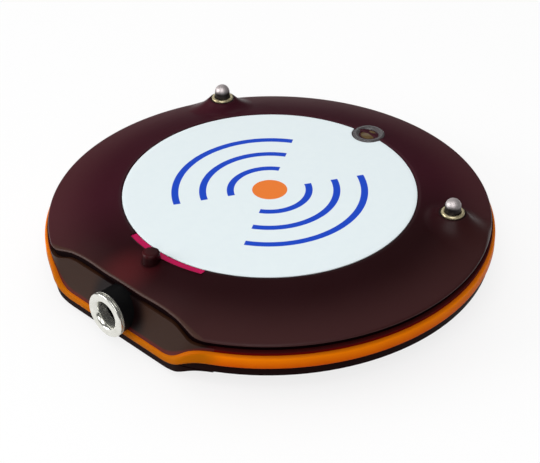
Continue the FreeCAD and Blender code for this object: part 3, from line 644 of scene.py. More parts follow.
@dataclass(frozen=True)
class AmberRubber:
    """Soft see-through amber, painted lighter towards the top where the light comes in from above."""

    name: str = "amber_rubber"
    upper: tuple = shown(238, 124, 0)
    lower: tuple = shown(196, 72, 0)
    brim: tuple = shown(184, 92, 4)
    brim_start: float = 0.9
    flat: tuple = shown(164, 90, 0)
    flat_zone: float = -46.0
    low: tuple = (6.7, 3.25)
    high: tuple = BAND_TOP

    def material(self) -> bpy.types.Material:
        """Build the material."""
        shade = Shade(self.name)
        x, y, z = shade.axes()
        low = dipping(x, y, *self.low)
        height = (z - low) / (dipping(x, y, *self.high) - low)
        mottle = shade.noise(120.0, 3.0)
        # Painted light: lighter towards the band's top
        colour = shade.mix(height * 1.2 + (mottle - 0.5) * 0.35, self.lower, self.upper)
        colour = shade.mix(y.below(self.flat_zone, 3.0) * 0.9, colour, self.flat)
        colour = shade.mix(1 - height.below(self.brim_start, 0.2), colour, self.brim)
        grain = shade.noise(3000.0, 2.0)
        return shade.finish(
            Base_Color=colour,
            Roughness=0.42 + (mottle - 0.5) * 0.12,
            Specular_IOR_Level=0.02,
            Normal=shade.bump(grain, 0.1, 0.00008),
        )


@dataclass(frozen=True)
class PrintedFilm:
    """White film with blue arcs to the left and right of an orange spot, all flat print."""

    name: str = "label_film"
    white: tuple = shown(213, 222, 224)
    shade_white: tuple = shown(204, 215, 219)
    blue: tuple = shown(10, 62, 182)
    orange: tuple = shown(218, 114, 40)
    arc_radii: tuple = (9.4, 16.0, 22.6)
    stroke: float = 1.7
    opening: float = 0.5
    spot_radius: float = 4.2
    soft: float = 0.09

    def material(self) -> bpy.types.Material:
        """Build the material.

        An arc is where the distance from the middle is within half a stroke of its radius. It ends where
        the distance across falls below a share of the distance, which cuts all arcs along four rays.
        """
        shade = Shade(self.name)
        x, y, _ = shade.axes()
        distance = (x * x + y * y).root()
        arcs = None
        for radius in self.arc_radii:
            arc = (distance - radius).size().below(self.stroke / 2, self.soft)
            arcs = arc if arcs is None else arcs.most(arc)
        aside = (distance * self.opening - x.size()).below(0.0, self.soft)
        spot = distance.below(self.spot_radius, self.soft)
        fibres = shade.noise(500.0, 4.0)
        tint = shade.mix((fibres - 0.5) * 0.5 + 0.25, self.white, self.shade_white)
        colour = shade.mix(arcs * aside, tint, self.blue)
        colour = shade.mix(spot, colour, self.orange)
        peel = shade.noise(1500.0, 2.0)
        return shade.finish(
            Base_Color=colour,
            Roughness=0.42 + (fibres - 0.5) * 0.1,
            Specular_IOR_Level=0.05,
            Normal=shade.bump(peel, 0.05, 0.00006),
        )


@dataclass(frozen=True)
class Plating:
    """Plated metal with fine turning marks round its axis and a little tarnish."""

    name: str
    colour: tuple
    tarnish: tuple
    roughness: float = 0.16
    metallic: float = 1.0

    def material(self) -> bpy.types.Material:
        """Build the material."""
        shade = Shade(self.name)
        stains = shade.noise(420.0, 4.0)
        marks = shade.noise(5200.0, 2.0, stretch=(0.15, 0.15, 1.0))
        colour = shade.mix(stains * 1.3 - 0.35, self.colour, self.tarnish)
        return shade.finish(
            Base_Color=colour,
            Metallic=self.metallic,
            Roughness=self.roughness + (stains - 0.5) * 0.1,
            Normal=shade.bump(marks, 0.08, 0.00004),
        )


@dataclass(frozen=True)
class SpringPin:
    """Bright nickel that darkens towards its foot, a painted reflection of the dark housing round it, bright
    on top.
    """

    name: str = "pin_nickel"
    bright: tuple = shown(228, 218, 218)
    dark: tuple = shown(48, 43, 43)
    painted_reflection_below: float = 20.7

    def material(self) -> bpy.types.Material:
        """Build the material."""
        shade = Shade(self.name)
        _, _, z = shade.axes()
        stains = shade.noise(420.0, 4.0)
        # Painted reflection: dark towards the foot, bright above
        painted_reflection = z.below(self.painted_reflection_below, 1.5)
        return shade.finish(
            Base_Color=shade.mix(painted_reflection + (stains - 0.5) * 0.3, self.bright, self.dark),
            Metallic=0.85,
            Roughness=0.52 + (stains - 0.5) * 0.1,
            Normal=shade.bump(stains, 0.05, 0.00004),
        )


@dataclass(frozen=True)
class Moulded:
    """A moulded or coated surface with mottling, grain and a little wear."""

    name: str
    colour: tuple
    second: tuple
    roughness: float = 0.45
    metallic: float = 0.0
    scale: float = 300.0
    grain: float = 2200.0
    bump: float = 0.15
    gloss: float = 0.5

    def material(self) -> bpy.types.Material:
        """Build the material."""
        shade = Shade(self.name)
        mottle = shade.noise(self.scale, 3.0)
        fine = shade.noise(self.grain, 2.0)
        colour = shade.mix(mottle * 1.4 - 0.2, self.colour, self.second)
        return shade.finish(
            Base_Color=colour,
            Metallic=self.metallic,
            Roughness=self.roughness + (mottle - 0.5) * 0.16,
            Specular_IOR_Level=self.gloss,
            Normal=shade.bump(fine, self.bump, 0.0001),
        )


@dataclass(frozen=True)
class ClearPlastic:
    """Polished clear plastic with faint flow marks."""

    name: str = "clear_plastic"
    colour: tuple = shown(120, 116, 118)

    def material(self) -> bpy.types.Material:
        """Build the material."""
        shade = Shade(self.name)
        flow = shade.noise(700.0, 2.0)
        return shade.finish(
            Base_Color=self.colour,
            Roughness=0.22 + flow * 0.08,
            Transmission_Weight=0.6,
            IOR=1.49,
            Normal=shade.bump(flow, 0.08, 0.0001),
        )


@dataclass(frozen=True)
class CircuitBoard:
    """Green solder mask with faint copper tracks under it."""

    name: str = "circuit_board"
    mask: tuple = shown(16, 84, 44)
    track: tuple = shown(40, 122, 66)

    def material(self) -> bpy.types.Material:
        """Build the material."""
        shade = Shade(self.name)
        x, y, _ = shade.axes()
        lanes = shade.maths("PINGPONG", (x * 0.8).size(), 1.0).below(0.3, 0.1)
        rows = shade.maths("PINGPONG", (y * 0.7).size(), 1.0).below(0.25, 0.1)
        pick = shade.noise(90.0, 1.0).below(0.5, 0.02)
        tracks = lanes * pick + rows * (1 - pick)
        return shade.finish(
            Base_Color=shade.mix(tracks, self.mask, self.track),
            Roughness=0.35 + tracks * 0.08,
            Normal=shade.bump(tracks, 0.2, 0.0001),
        )


OWN_FINISHES = {"lower_shell": "smoked_base_plastic", "jack_body": "socket_black"}

ALL_FINISHES = (
    SmokedPlastic(),
    SmokedBase(),
    ShadowedLip(),
    AmberRubber(),
    PrintedFilm(),
    SpringPin(),
    ClearPlastic(),
    CircuitBoard(),
    Plating("nickel", shown(232, 232, 226), shown(200, 198, 186), 0.16, 0.85),
    Plating("gold_plate", shown(232, 220, 182), shown(206, 186, 132), 0.28, 0.7),
    Moulded("crimson_film", shown(178, 0, 76), shown(158, 0, 64), 0.4, bump=0.03, gloss=0.05),
    Moulded("dark_film", shown(14, 2, 2), shown(26, 6, 6), 0.25, bump=0.05),
    Moulded("receiver_lens", shown(112, 92, 56), shown(70, 54, 34), 0.15, bump=0.05),
    Moulded("black_plastic", shown(20, 21, 23), shown(34, 35, 38), 0.42),
    Moulded("socket_black", shown(6, 6, 7), shown(12, 12, 13), 0.5, bump=0.05, gloss=0.1),
    Moulded("white_plastic", shown(222, 220, 210), shown(206, 202, 190), 0.5),
    Moulded("lamp_plastic", shown(214, 70, 48), shown(238, 196, 180), 0.2, bump=0.05),
    Moulded("lead_insulation", shown(168, 22, 18), shown(128, 12, 12), 0.45),
    Moulded("foam_pad", shown(38, 38, 40), shown(56, 56, 58), 0.9, grain=1400.0, bump=0.6),
    Moulded("component_ceramic", shown(150, 122, 96), shown(60, 56, 54), 0.5, scale=120.0),
    Moulded("tinned_metal", shown(176, 176, 172), shown(140, 140, 136), 0.35, 1.0),
    Moulded("copper_wire", shown(200, 122, 82), shown(150, 78, 48), 0.3, 1.0),
    Moulded("motor_steel", shown(168, 168, 166), shown(128, 128, 126), 0.3, 1.0),
    Moulded("black_steel", shown(16, 16, 17), shown(38, 37, 36), 0.35, 0.6),
    Moulded("cell_foil", shown(184, 184, 188), shown(160, 160, 166), 0.3, 1.0, scale=80.0, bump=0.4),
)
FINISHES = {finish.name: finish for finish in ALL_FINISHES}


class Workshop:
    """Makes each finish once and dresses pieces and frame nodes with them."""

    def __init__(self) -> None:
        """Start with no material made."""
        self.made: dict[str, bpy.types.Material] = {}

    def material(self, slot: str) -> bpy.types.Material:
        """The material of a record slot, made on first use."""
        if slot not in self.made:
            self.made[slot] = FINISHES[slot].material()
        return self.made[slot]

    def fit(
        self, piece: bpy.types.Object, slot: str, body: str, *nodes: str, finishes: tuple[str, ...] = ()
    ) -> bpy.types.Object:
        """Dress a new piece, put it on its body and let it stand for its nodes.

        Args:
            piece: The new piece.
            slot: Record slot that it takes its finish from.
            body: Frame body that it rides on.
            nodes: Frame nodes that it stands for.
            finishes: The finishes to use, if they aren't just the slot's own.

        Returns:
            The same piece.
        """
        for finish in finishes or (slot,):
            piece.data.materials.append(self.material(finish))
        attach(piece, body)
        if nodes:
            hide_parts(*nodes)
        LOG.info("%s: %d vertices on %s", piece.name, len(piece.data.vertices), body)
        return piece

    def dress_nodes(self) -> None:
        """Give every frame node the finish of its record slot, or its own where it has one."""
        for entry in frame["record"]["subparts"]:
            node = frame["nodes"][entry["node"]]
            finish = OWN_FINISHES.get(entry["node"], entry["material_slot"])
            node.data.materials.clear()
            node.data.materials.append(self.material(finish))


# Housing


@dataclass(frozen=True)
class Plan:
    """Plan of the disc: a circle with one straight side towards -Y and a round corner at each end of it."""

    radius: float = 53.3
    flat: float = 49.3
    corner: float = 7.0
    break_z: float = 5.4
    lean_z: float = 18.5
    lean_flat: float = 45.7
    lean_corner: float = 12.0

    @staticmethod
    def reach(angle: Array, radius: Array, flat: Array, corner: Array) -> Array:
        """Distance from the axis to the outline at each angle.

        Towards the flat side a ray ends on the line at distance `flat`. Further round it ends on the arc of
        the corner, where distance = a + sqrt(a^2 - c^2 + corner^2), with c the length to the arc's centre
        and a that length seen along the ray. Beyond the corner it ends on the circle.

        Args:
            angle: Angles from +X.
            radius: Radius of the circle.
            flat: Distance of the straight side from the axis.
            corner: Radius of the corner arcs.

        Returns:
            The distances.
        """
        drop = flat - corner
        side = np.sqrt((radius - corner) ** 2 - drop**2)
        front = np.abs((angle + 1.5 * math.pi) % (2 * math.pi) - math.pi)
        straight = flat / np.maximum(np.cos(front), 1e-3)
        along = side * np.sin(front) + drop * np.cos(front)
        under = along**2 - side**2 - drop**2 + corner**2
        arc = along + np.sqrt(np.maximum(under, 0.0))
        on_arc = np.where(front < np.arctan2(side, drop), arc, radius)
        return np.where(front < np.arctan2(side, flat), straight, on_arc)

    def wall(self, angle: Array, height: Array, inset: float = 0.0) -> Array:
        """Distance from the axis to the side wall, whose flat side leans back above the band.

        Args:
            angle: Angles from +X.
            height: Heights in millimetres.
            inset: How far inside the wall to stay.

        Returns:
            The distances.
        """
        share = np.clip((height - self.break_z) / (self.lean_z - self.break_z), 0.0, 1.0)
        flat = self.flat + (self.lean_flat - self.flat) * share - inset
        corner = self.corner + (self.lean_corner - self.corner) * share
        return self.reach(angle, self.radius - inset, flat, corner)


@dataclass(frozen=True)
class Dip:
    """How a level changes along the flat side: one height before the socket, another beyond an S."""

    inner: float = DIP_START
    outer: float = DIP_END
    zone_y: float = -40.0

    def level(self, x: Array, y: Array, round_z: float, flat_z: float) -> Array:
        """Height of a line that dips below the socket.

        The S is a cubic curve with level ends. Its way across and its rise both follow from t:
        across = inner (1-t)^3 + 3 middle (1-t)^2 t + 3 middle (1-t) t^2 + outer t^3,
        rise = 3 (1-t) t^2 + t^3.

        Args:
            x: Places across the flat side.
            y: Places along the disc.
            round_z: Height beyond the S.
            flat_z: Height before the socket.

        Returns:
            The heights.
        """
        t = np.linspace(0.0, 1.0, 201)
        middle = (self.inner + self.outer) / 2
        ends = self.inner * (1 - t) ** 3 + self.outer * t**3
        across = ends + 3 * middle * ((1 - t) ** 2 * t + (1 - t) * t**2)
        rise = 3 * (1 - t) * t**2 + t**3
        share = np.interp(np.abs(x), across, rise)
        return np.where(y < self.zone_y, flat_z + (round_z - flat_z) * share, round_z)


def soft_step(value: Array, start: float, end: float) -> Array:
    """Zero at the start and one at the end, with level ends: 3t^2 - 2t^3.

    Args:
        value: Values to map.
        start: Value that gives zero.
        end: Value that gives one, which may lie below the start.

    Returns:
        Shares from zero to one.
    """
    t = np.clip((value - start) / (end - start), 0.0, 1.0)
    return t * t * (3 - 2 * t)


def graded(places: list[tuple[float, float, float]], coarse: float, total: float = 360.0) -> Array:
    """Angles round the disc, close together near given places and wide apart elsewhere.

    The step at an angle is the smallest asked for by any place, and the angles follow from the summed
    density, which is one over the step.

    Args:
        places: (angle, reach on each side, step there), all in degrees.
        coarse: Step elsewhere.
        total: Full turn.

    Returns:
        The angles in radians.
    """
    fine = np.linspace(0.0, total, 7201)
    step = np.full_like(fine, coarse)
    for angle, reach, wanted in places:
        away = np.abs((fine - angle + total / 2) % total - total / 2)
        share = np.clip((away - reach) / reach, 0.0, 1.0)
        step = np.minimum(step, wanted + (coarse - wanted) * share)
    density = np.concatenate([[0.0], np.cumsum((1 / step[1:] + 1 / step[:-1]) / 2)])
    count = int(round(density[-1] * total / (len(fine) - 1)))
    return np.radians(np.interp(np.linspace(0.0, density[-1], count, endpoint=False), density, fine))


def carried(reach: Array | float, height: Array | float, angle: Array) -> Array:
    """Points round the axis.

    Args:
        reach: Distances from the axis, or one for all angles.
        height: Heights, or one for all angles.
        angle: Angles from +X.

    Returns:
        One row of coordinates for each angle.
    """
    reach = np.broadcast_to(reach, angle.shape)
    height = np.broadcast_to(height, angle.shape)
    return np.stack([reach * np.cos(angle), reach * np.sin(angle), height], axis=-1)


@dataclass(frozen=True)
class UpperShell:
    """The upper half of the housing: a plateau with a recess, a domed skirt, two mounds and the side wall."""

    plan: Plan = Plan()
    dip: Dip = Dip()
    groove_dip: Dip = Dip(outer=24.5)
    top_z: float = 17.5
    plateau: float = 36.0
    dome_radius: float = 162.6
    recess: float = 35.3
    recess_depth: float = 0.35
    recess_edge: tuple = ((0.02, 0.12), (0.06, 0.04), (0.14, 0.0))
    bay: float = 36.85
    bay_angles: tuple = (-105.5, -69.3)
    bay_soft: float = 1.1
    shoulder: float = 0.75
    shoulder_rise: tuple = (4.0, 15.0)
    shoulder_fall: tuple = (17.0, 24.0)
    shoulder_y: tuple = (-39.5, -46.5)
    contact_x: float = CONTACT[0]
    contact_y: float = CONTACT[1]
    mound_top: float = 18.25
    mound_top_radius: float = 3.3
    mound_slope: float = 1.185
    mound_blend: float = 3.4
    rim_round: float = 0.5
    rim_inset: float = 0.3
    groove_depth: float = 0.8
    groove: tuple = ((11.0, 13.05), (12.35, 13.6))
    band_top: tuple = BAND_TOP
    parting: tuple = (8.75, 4.275)
    seat_inset: float = 1.4
    wall: float = 3.4
    roof: float = 2.0

    def dome(self, x: Array, y: Array) -> Array:
        """Height of plateau and skirt: level up to the plateau's edge, then part of a sphere on the axis.

        Along the flat side a soft shoulder on each side of the socket keeps the edge nearly straight.
        """
        crown = math.sqrt(self.dome_radius**2 - self.plateau**2)
        reach = np.maximum(np.hypot(x, y), self.plateau)
        rise = soft_step(np.abs(x), *self.shoulder_rise) * (1 - soft_step(np.abs(x), *self.shoulder_fall))
        shoulder = self.shoulder * rise * soft_step(y, *self.shoulder_y)
        return self.top_z - crown + np.sqrt(self.dome_radius**2 - reach**2) + shoulder

    def surface(self, x: Array, y: Array) -> Array:
        """Height of the top with its mounds.

        A mound is a cone that falls from its flat top with a fixed slope. It is joined to the dome by a
        smooth maximum: with h = 1/2 + (a - b) / 2k held between 0 and 1, height = a h + b (1-h) + k h (1-h).

        Args:
            x: Places in millimetres.
            y: Places in millimetres.

        Returns:
            The heights.
        """
        height = self.dome(x, y)
        for side in Side:
            away = np.hypot(x - side.value * self.contact_x, y - self.contact_y)
            cone = self.mound_top - np.maximum(away - self.mound_top_radius, 0.0) * self.mound_slope
            share = np.clip(0.5 + 0.5 * (cone - height) / self.mound_blend, 0.0, 1.0)
            height = cone * share + height * (1 - share) + self.mound_blend * share * (1 - share)
        return height

    def recess_reach(self, angle: Array) -> Array:
        """Distance from the axis to the edge of the recess, which is wider in the bay beside the peg."""
        middle = math.radians(sum(self.bay_angles) / 2)
        half = (self.bay_angles[1] - self.bay_angles[0]) / 2
        away = np.degrees(np.abs((angle - middle + math.pi) % (2 * math.pi) - math.pi))
        share = 1 - soft_step(away, half - self.bay_soft / 2, half + self.bay_soft / 2)
        return self.recess + (self.bay - self.recess) * share

    def columns(self) -> Array:
        """Angles of the columns, close together at mounds, corners and the S of the dip."""
        contact = math.degrees(math.atan2(self.contact_y, self.contact_x))
        places = [(contact, 11.0, 0.42), (180.0 - contact, 11.0, 0.42), (-90.0, 34.0, 0.5)]
        places += [(angle, 2.0, 0.12) for angle in self.bay_angles]
        return graded([(angle % 360.0, reach, step) for angle, reach, step in places], 1.25)

    def build(self) -> bpy.types.Object:
        """The closed shell, from the middle of the top outwards, down the wall and back under the roof."""
        angle = self.columns()
        cosine, sine = np.cos(angle), np.sin(angle)
        rows: list[Array] = []

        def put(reach: Array, height: Array) -> None:
            """Add one row at these distances from the axis and heights."""
            rows.append(carried(reach, height, angle))

        floor = self.top_z - self.recess_depth
        for share in (0.02, 0.35, 0.7, 0.9, 0.99):
            put(self.recess * share, floor)
        edge = self.recess_reach(angle)
        put(edge, floor)
        for outwards, drop in self.recess_edge:
            put(edge + outwards, self.top_z - drop)
        rim = np.full_like(angle, 50.0)
        for _ in range(8):
            rim = self.plan.wall(angle, self.dome(rim * cosine, rim * sine), self.rim_inset)
        start = np.maximum(edge + 0.2, self.plateau)
        inner = rim - self.rim_round
        for share in np.linspace(0.0, 1.0, 44):
            reach = start + (inner - start) * share
            put(reach, self.surface(reach * cosine, reach * sine))
        brow = rows[-1][:, 2]
        edge_z = self.dome(rim * cosine, rim * sine)
        low_z = edge_z - self.rim_round * 0.8
        low = self.plan.wall(angle, low_z, self.rim_inset)
        for share in np.linspace(0.0, 1.0, 7)[1:]:
            first, middle, last = (1 - share) ** 2, 2 * share * (1 - share), share**2
            reach = first * inner + middle * rim + last * low
            put(reach, first * brow + middle * edge_z + last * low_z)

        def wall_row(height: Array, inset: float) -> None:
            """Add one row on the side wall."""
            put(self.plan.wall(angle, height, inset), height)

        x, y = low * cosine, low * sine
        groove_low = self.groove_dip.level(x, y, *self.groove[0])
        groove_high = np.minimum(self.groove_dip.level(x, y, *self.groove[1]), low_z - 0.05)
        groove_low = np.minimum(groove_low, groove_high - 0.25)
        gap_start = len(rows) - 1
        wall_row(groove_high + 0.04, self.rim_inset)
        wall_row(groove_high, self.rim_inset + 0.05)
        wall_row(groove_high - 0.02, self.groove_depth)
        wall_row(groove_low + 0.02, self.groove_depth)
        ledge = len(rows) - 1
        wall_row(groove_low, 0.05)
        wall_row(groove_low - 0.04, 0.0)
        band_top = self.dip.level(x, y, *self.band_top)
        for share in (0.2, 0.4, 0.6, 0.8, 1.0):
            wall_row(groove_low - 0.04 + (band_top - groove_low + 0.04) * share, 0.0)
        lip_end = len(rows) - 1
        parting = self.dip.level(x, y, *self.parting)
        wall_row(band_top, self.seat_inset)
        wall_row(parting, self.seat_inset)
        wall_row(parting, self.wall)
        roof = self.top_z - self.roof
        under = self.plan.wall(angle, roof - 4.0, self.wall)
        skirt = self.dome(under * cosine, under * sine) - self.roof - 1.0
        put(under, skirt)
        put(np.minimum(under - 1.0, self.plateau), roof)
        for share in (0.6, 0.3, 0.02):
            put(self.plateau * share, roof)
        # The gap, and the lip beyond the flat side, take the second finish with its painted shade and glow
        shadow = np.zeros((len(rows) - 1, len(angle)), dtype=bool)
        shadow[gap_start:ledge] = True
        shadow[ledge:lip_end] = (y > self.dip.zone_y) | (np.abs(x) > self.dip.outer)
        return closed_grid("upper_shell_skin", np.stack(rows)[::-1], 40.0, shadow[::-1])


@dataclass(frozen=True)
class StackingPeg:
    """The short peg beside the label, turned with a soft top edge."""

    x: float = PEG[0]
    y: float = PEG[1]
    radius: float = 2.05
    top_z: float = 19.45
    root_z: float = 16.6

    def build(self) -> bpy.types.Object:
        """The turned peg."""
        profile = rounded(
            [
                (self.radius, self.root_z, 0.0),
                (self.radius, self.top_z, 0.75),
                (self.radius * 0.4, self.top_z, 0.0),
            ]
        )
        return turned("stacking_peg", profile, (self.x, self.y, 0.0), 64)


@dataclass(frozen=True)
class BumperBand:
    """The soft band: a bar with round corners carried along the rim, dipping below the socket."""

    dip: Dip = Dip()
    outer: tuple = (54.0, 49.8)
    inner: tuple = (51.95, 47.95)
    corner: float = 7.0
    low: tuple = (6.73, 3.28)
    high: tuple = (10.12, 5.27)
    rounding: float = 0.75

    def build(self) -> bpy.types.Object:
        """The looped bar.

        The section is given by a place across (0 inside, 1 outside) and a place up (0 low, 1 high) with
        round outer corners. Both ends of each are carried round the outline and along the dip's levels.
        """
        angle = graded([(270.0, 34.0, 0.4)], 0.8)
        outer = Plan.reach(angle, *self.outer, self.corner)
        inner = Plan.reach(angle, *self.inner, self.corner)
        x, y = outer * np.cos(angle), outer * np.sin(angle)
        low = self.dip.level(x, y, *self.low)
        high = self.dip.level(x, y, *self.high)
        turn = np.linspace(0.0, math.pi / 2, 6)
        corner = np.minimum(self.rounding, (high - low) * 0.3)
        rows = [(inner, low)]
        for value in turn:
            rows.append((outer - corner * (1 - math.sin(value)), low + corner * (1 - math.cos(value))))
        for value in turn[::-1]:
            rows.append((outer - corner * (1 - math.sin(value)), high - corner * (1 - math.cos(value))))
        rows.append((inner, high))
        grid = np.stack([carried(reach, height, angle) for reach, height in rows])
        return looped_grid("bumper_band_skin", grid, 50.0)


@dataclass(frozen=True)
class TopLabel:
    """The printed film with its notch round the window, and the crimson film that shows beside the peg."""

    radius: float = 35.1
    low_z: float = 17.16
    high_z: float = 17.45
    notch_y: float = WINDOW_Y
    notch_radius: float = 4.25
    bay: float = 36.8
    bay_inner: float = 35.25
    bay_angles: tuple = (-105.3, -69.5)
    backing_low: float = 17.16
    backing_high: float = 17.3
    peg_gap: float = 2.12

    def film(self) -> bpy.types.Object:
        """The white film: a disc whose reach is cut short where a ray meets the notch's circle."""
        angle = graded([(90.0, 9.0, 0.3)], 1.0)
        along = self.notch_y * np.sin(angle)
        under = self.notch_radius**2 - self.notch_y**2 + along**2
        near = np.where((under > 0) & (along > 0), along - np.sqrt(np.maximum(under, 0.0)), self.radius)
        reach = np.minimum(near, self.radius)
        steps = [(0.02, self.low_z, 0.0), (0.5, self.low_z, 0.0), (1.0, self.low_z, 0.05)]
        steps += [(1.0, self.low_z + 0.04, 0.0), (1.0, self.high_z - 0.05, 0.0)]
        steps += [(1.0, self.high_z - 0.015, 0.02), (1.0, self.high_z, 0.07)]
        steps += [(share, self.high_z, 0.0) for share in (0.97, 0.7, 0.35, 0.02)]
        rows = [carried(reach * share - inset, height, angle) for share, height, inset in steps]
        return closed_grid("label_film_disc", np.stack(rows), 60.0)

    def backing(self) -> bpy.types.Object:
        """The crimson strip in the bay between label and peg: a bent bar, closed at both ends."""
        angle = np.radians(np.linspace(*self.bay_angles, 73))
        peg = StackingPeg()
        along = peg.x * np.cos(angle) + peg.y * np.sin(angle)
        under = self.peg_gap**2 - peg.x**2 - peg.y**2 + along**2
        reach = np.where(under > 0, along - np.sqrt(np.maximum(under, 0.0)), self.bay)
        outer = np.clip(reach, self.bay_inner + 0.05, self.bay)
        corners = [(self.bay_inner, self.backing_low), (outer, self.backing_low)]
        corners += [(outer, self.backing_high), (self.bay_inner, self.backing_high)]
        rows = [carried(reach, height, angle) for reach, height in corners]
        points = np.stack(rows, axis=1).reshape(-1, 3)
        faces = [(3, 2, 1, 0)]
        for index in range(len(angle) - 1):
            base = index * 4
            faces += [(base + k, base + (k + 1) % 4, base + 4 + (k + 1) % 4, base + 4 + k) for k in range(4)]
        last = (len(angle) - 1) * 4
        faces.append((last, last + 1, last + 2, last + 3))
        return mesh_piece("label_backing", points, faces)


@dataclass(frozen=True)
class StatusWindow:
    """The clear ring in the label's edge and the lens that looks out through it."""

    y: float = WINDOW_Y
    radius: float = 3.98
    bore: float = 2.45
    top_z: float = 17.7
    foot_z: float = 14.4
    lens_top: float = 17.5

    def bezel(self) -> bpy.types.Object:
        """The clear ring with a flat bevel and a deep mouth."""
        profile = rounded(
            [
                (self.bore, self.foot_z, 0.0),
                (self.radius, self.foot_z, 0.1),
                (self.radius, self.top_z - 0.28, 0.08),
                (self.radius - 0.35, self.top_z, 0.08),
                (self.bore + 0.65, self.top_z, 0.08),
                (self.bore, self.top_z - 0.5, 0.08),
                (self.bore, self.foot_z + 0.1, 0.0),
            ]
        )
        return turned("window_bezel_ring", profile, (0.0, self.y, 0.0), 72, ring=True)

    def lens(self) -> bpy.types.Object:
        """The domed lens of the receiver."""
        profile = rounded(
            [
                (0.2, 16.2, 0.0),
                (2.2, 16.2, 0.1),
                (2.2, 17.1, 0.3),
                (1.5, 17.36, 0.5),
                (0.1, self.lens_top, 0.0),
            ]
        )
        return turned("window_lens", profile, (0.0, self.y, 0.0), 64)


@dataclass(frozen=True)
class SpringContact:
    """One contact: a gold sleeve in its mound and a domed pin that travels down into it."""

    side: Side
    x: float = CONTACT[0]
    y: float = CONTACT[1]
    barrel_radius: float = 2.75
    barrel_top: float = 18.8
    barrel_foot: float = 9.6
    mouth: float = 1.95
    chamber: float = 2.35
    chamber_top: float = 17.6
    pin_radius: float = 1.9
    pin_top: float = 22.1
    collar_radius: float = 2.27
    collar: tuple = (15.4, 17.5)
    stroke: float = 1.5
    spring_foot: float = 10.4

    def centre(self) -> tuple[float, float, float]:
        """Place of the contact's axis."""
        return (self.side.value * self.x, self.y, 0.0)

    def barrel(self) -> bpy.types.Object:
        """The sleeve, with a rolled lip."""
        profile = rounded(
            [
                (self.chamber, self.barrel_foot + 0.8, 0.0),
                (self.chamber, self.barrel_foot, 0.1),
                (self.barrel_radius, self.barrel_foot, 0.1),
                (self.barrel_radius, self.barrel_top, 0.34),
                (self.mouth, self.barrel_top, 0.3),
                (self.mouth, self.chamber_top, 0.1),
                (self.chamber, self.chamber_top, 0.1),
                (self.chamber, self.barrel_foot + 0.9, 0.0),
            ]
        )
        name = f"{self.side.name.lower()}_contact_sleeve"
        return turned(name, profile, self.centre(), 72, ring=True)

    def pin(self) -> bpy.types.Object:
        """The pin: a collar, a shank and a nose that is half a sphere."""
        turn = np.linspace(0.0, math.pi / 2, 14)[:-1]
        dome = self.pin_top - self.pin_radius
        nose = np.stack([self.pin_radius * np.cos(turn), dome + self.pin_radius * np.sin(turn)], axis=-1)
        shank = rounded(
            [
                (0.1, self.collar[0], 0.0),
                (self.collar_radius, self.collar[0], 0.15),
                (self.collar_radius, self.collar[1], 0.15),
                (self.pin_radius, self.collar[1], 0.0),
                (self.pin_radius, dome - 0.2, 0.0),
            ]
        )
        tip = np.array([[0.05, self.pin_top]])
        name = f"{self.side.name.lower()}_contact_nose"
        return turned(name, np.concatenate([shank, nose, tip]), self.centre(), 72)

    def press_spring(self) -> None:
        """Give the contact's spring its own copy of its mesh."""
        side = self.side.name.lower()
        spring = frame["nodes"][f"{side}_contact_spring"]
        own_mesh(spring)


@dataclass(frozen=True)
class ChargingSocket:
    """The socket on the flat side: bright threaded mouth, black nose, sleeve and centre pin."""

    z: float = SOCKET_Z
    front: float = 52.4
    back: float = 51.1
    radius: float = 5.4
    bore: float = 3.05
    sleeve: float = 3.55
    sleeve_back: float = 43.0
    liner_front: float = 49.4
    liner_bore: float = 2.75
    nose_radius: float = 5.2
    nose_back: float = 45.0
    pin_radius: float = 1.05
    pin_tip: float = 47.6

    def ferrule(self) -> bpy.types.Object:
        """The mouth with a rolled lip, one thread line and the sleeve behind it."""
        neck = self.radius - 0.45
        profile = rounded(
            [
                (self.bore, self.liner_front - 0.6, 0.0),
                (self.bore + 0.3, self.liner_front - 0.6, 0.0),
                (self.bore + 0.3, self.back, 0.0),
                (self.radius - 0.1, self.back, 0.05),
                (self.radius - 0.02, self.back + 0.25, 0.05),
                (neck, self.back + 0.28, 0.03),
                (neck, self.back + 0.62, 0.03),
                (self.radius, self.back + 0.66, 0.05),
                (self.radius, self.front, 0.35),
                (self.bore + 0.5, self.front, 0.35),
                (self.bore, self.front - 0.8, 0.4),
                (self.bore, self.liner_front - 0.5, 0.0),
            ]
        )
        return turned("socket_ferrule", profile, (0.0, 0.0, self.z), 96, axis="-Y", ring=True)

    def liner(self) -> bpy.types.Object:
        """The black insulating tube behind the bright mouth."""
        profile = rounded(
            [
                (self.liner_bore, self.sleeve_back, 0.0),
                (self.sleeve, self.sleeve_back, 0.0),
                (self.sleeve, self.liner_front - 0.7, 0.0),
                (self.bore - 0.04, self.liner_front - 0.7, 0.0),
                (self.bore - 0.04, self.liner_front, 0.1),
                (self.liner_bore, self.liner_front, 0.2),
                (self.liner_bore, self.sleeve_back + 0.1, 0.0),
            ]
        )
        return turned("socket_liner", profile, (0.0, 0.0, self.z), 64, axis="-Y", ring=True)

    def pin(self) -> bpy.types.Object:
        """The centre pin with a round tip."""
        profile = rounded(
            [
                (0.1, 38.5, 0.0),
                (self.pin_radius, 38.5, 0.1),
                (self.pin_radius, self.pin_tip, 0.8),
                (0.1, self.pin_tip, 0.0),
            ]
        )
        return turned("socket_pin", profile, (0.0, 0.0, self.z), 48, axis="-Y")


# Setting


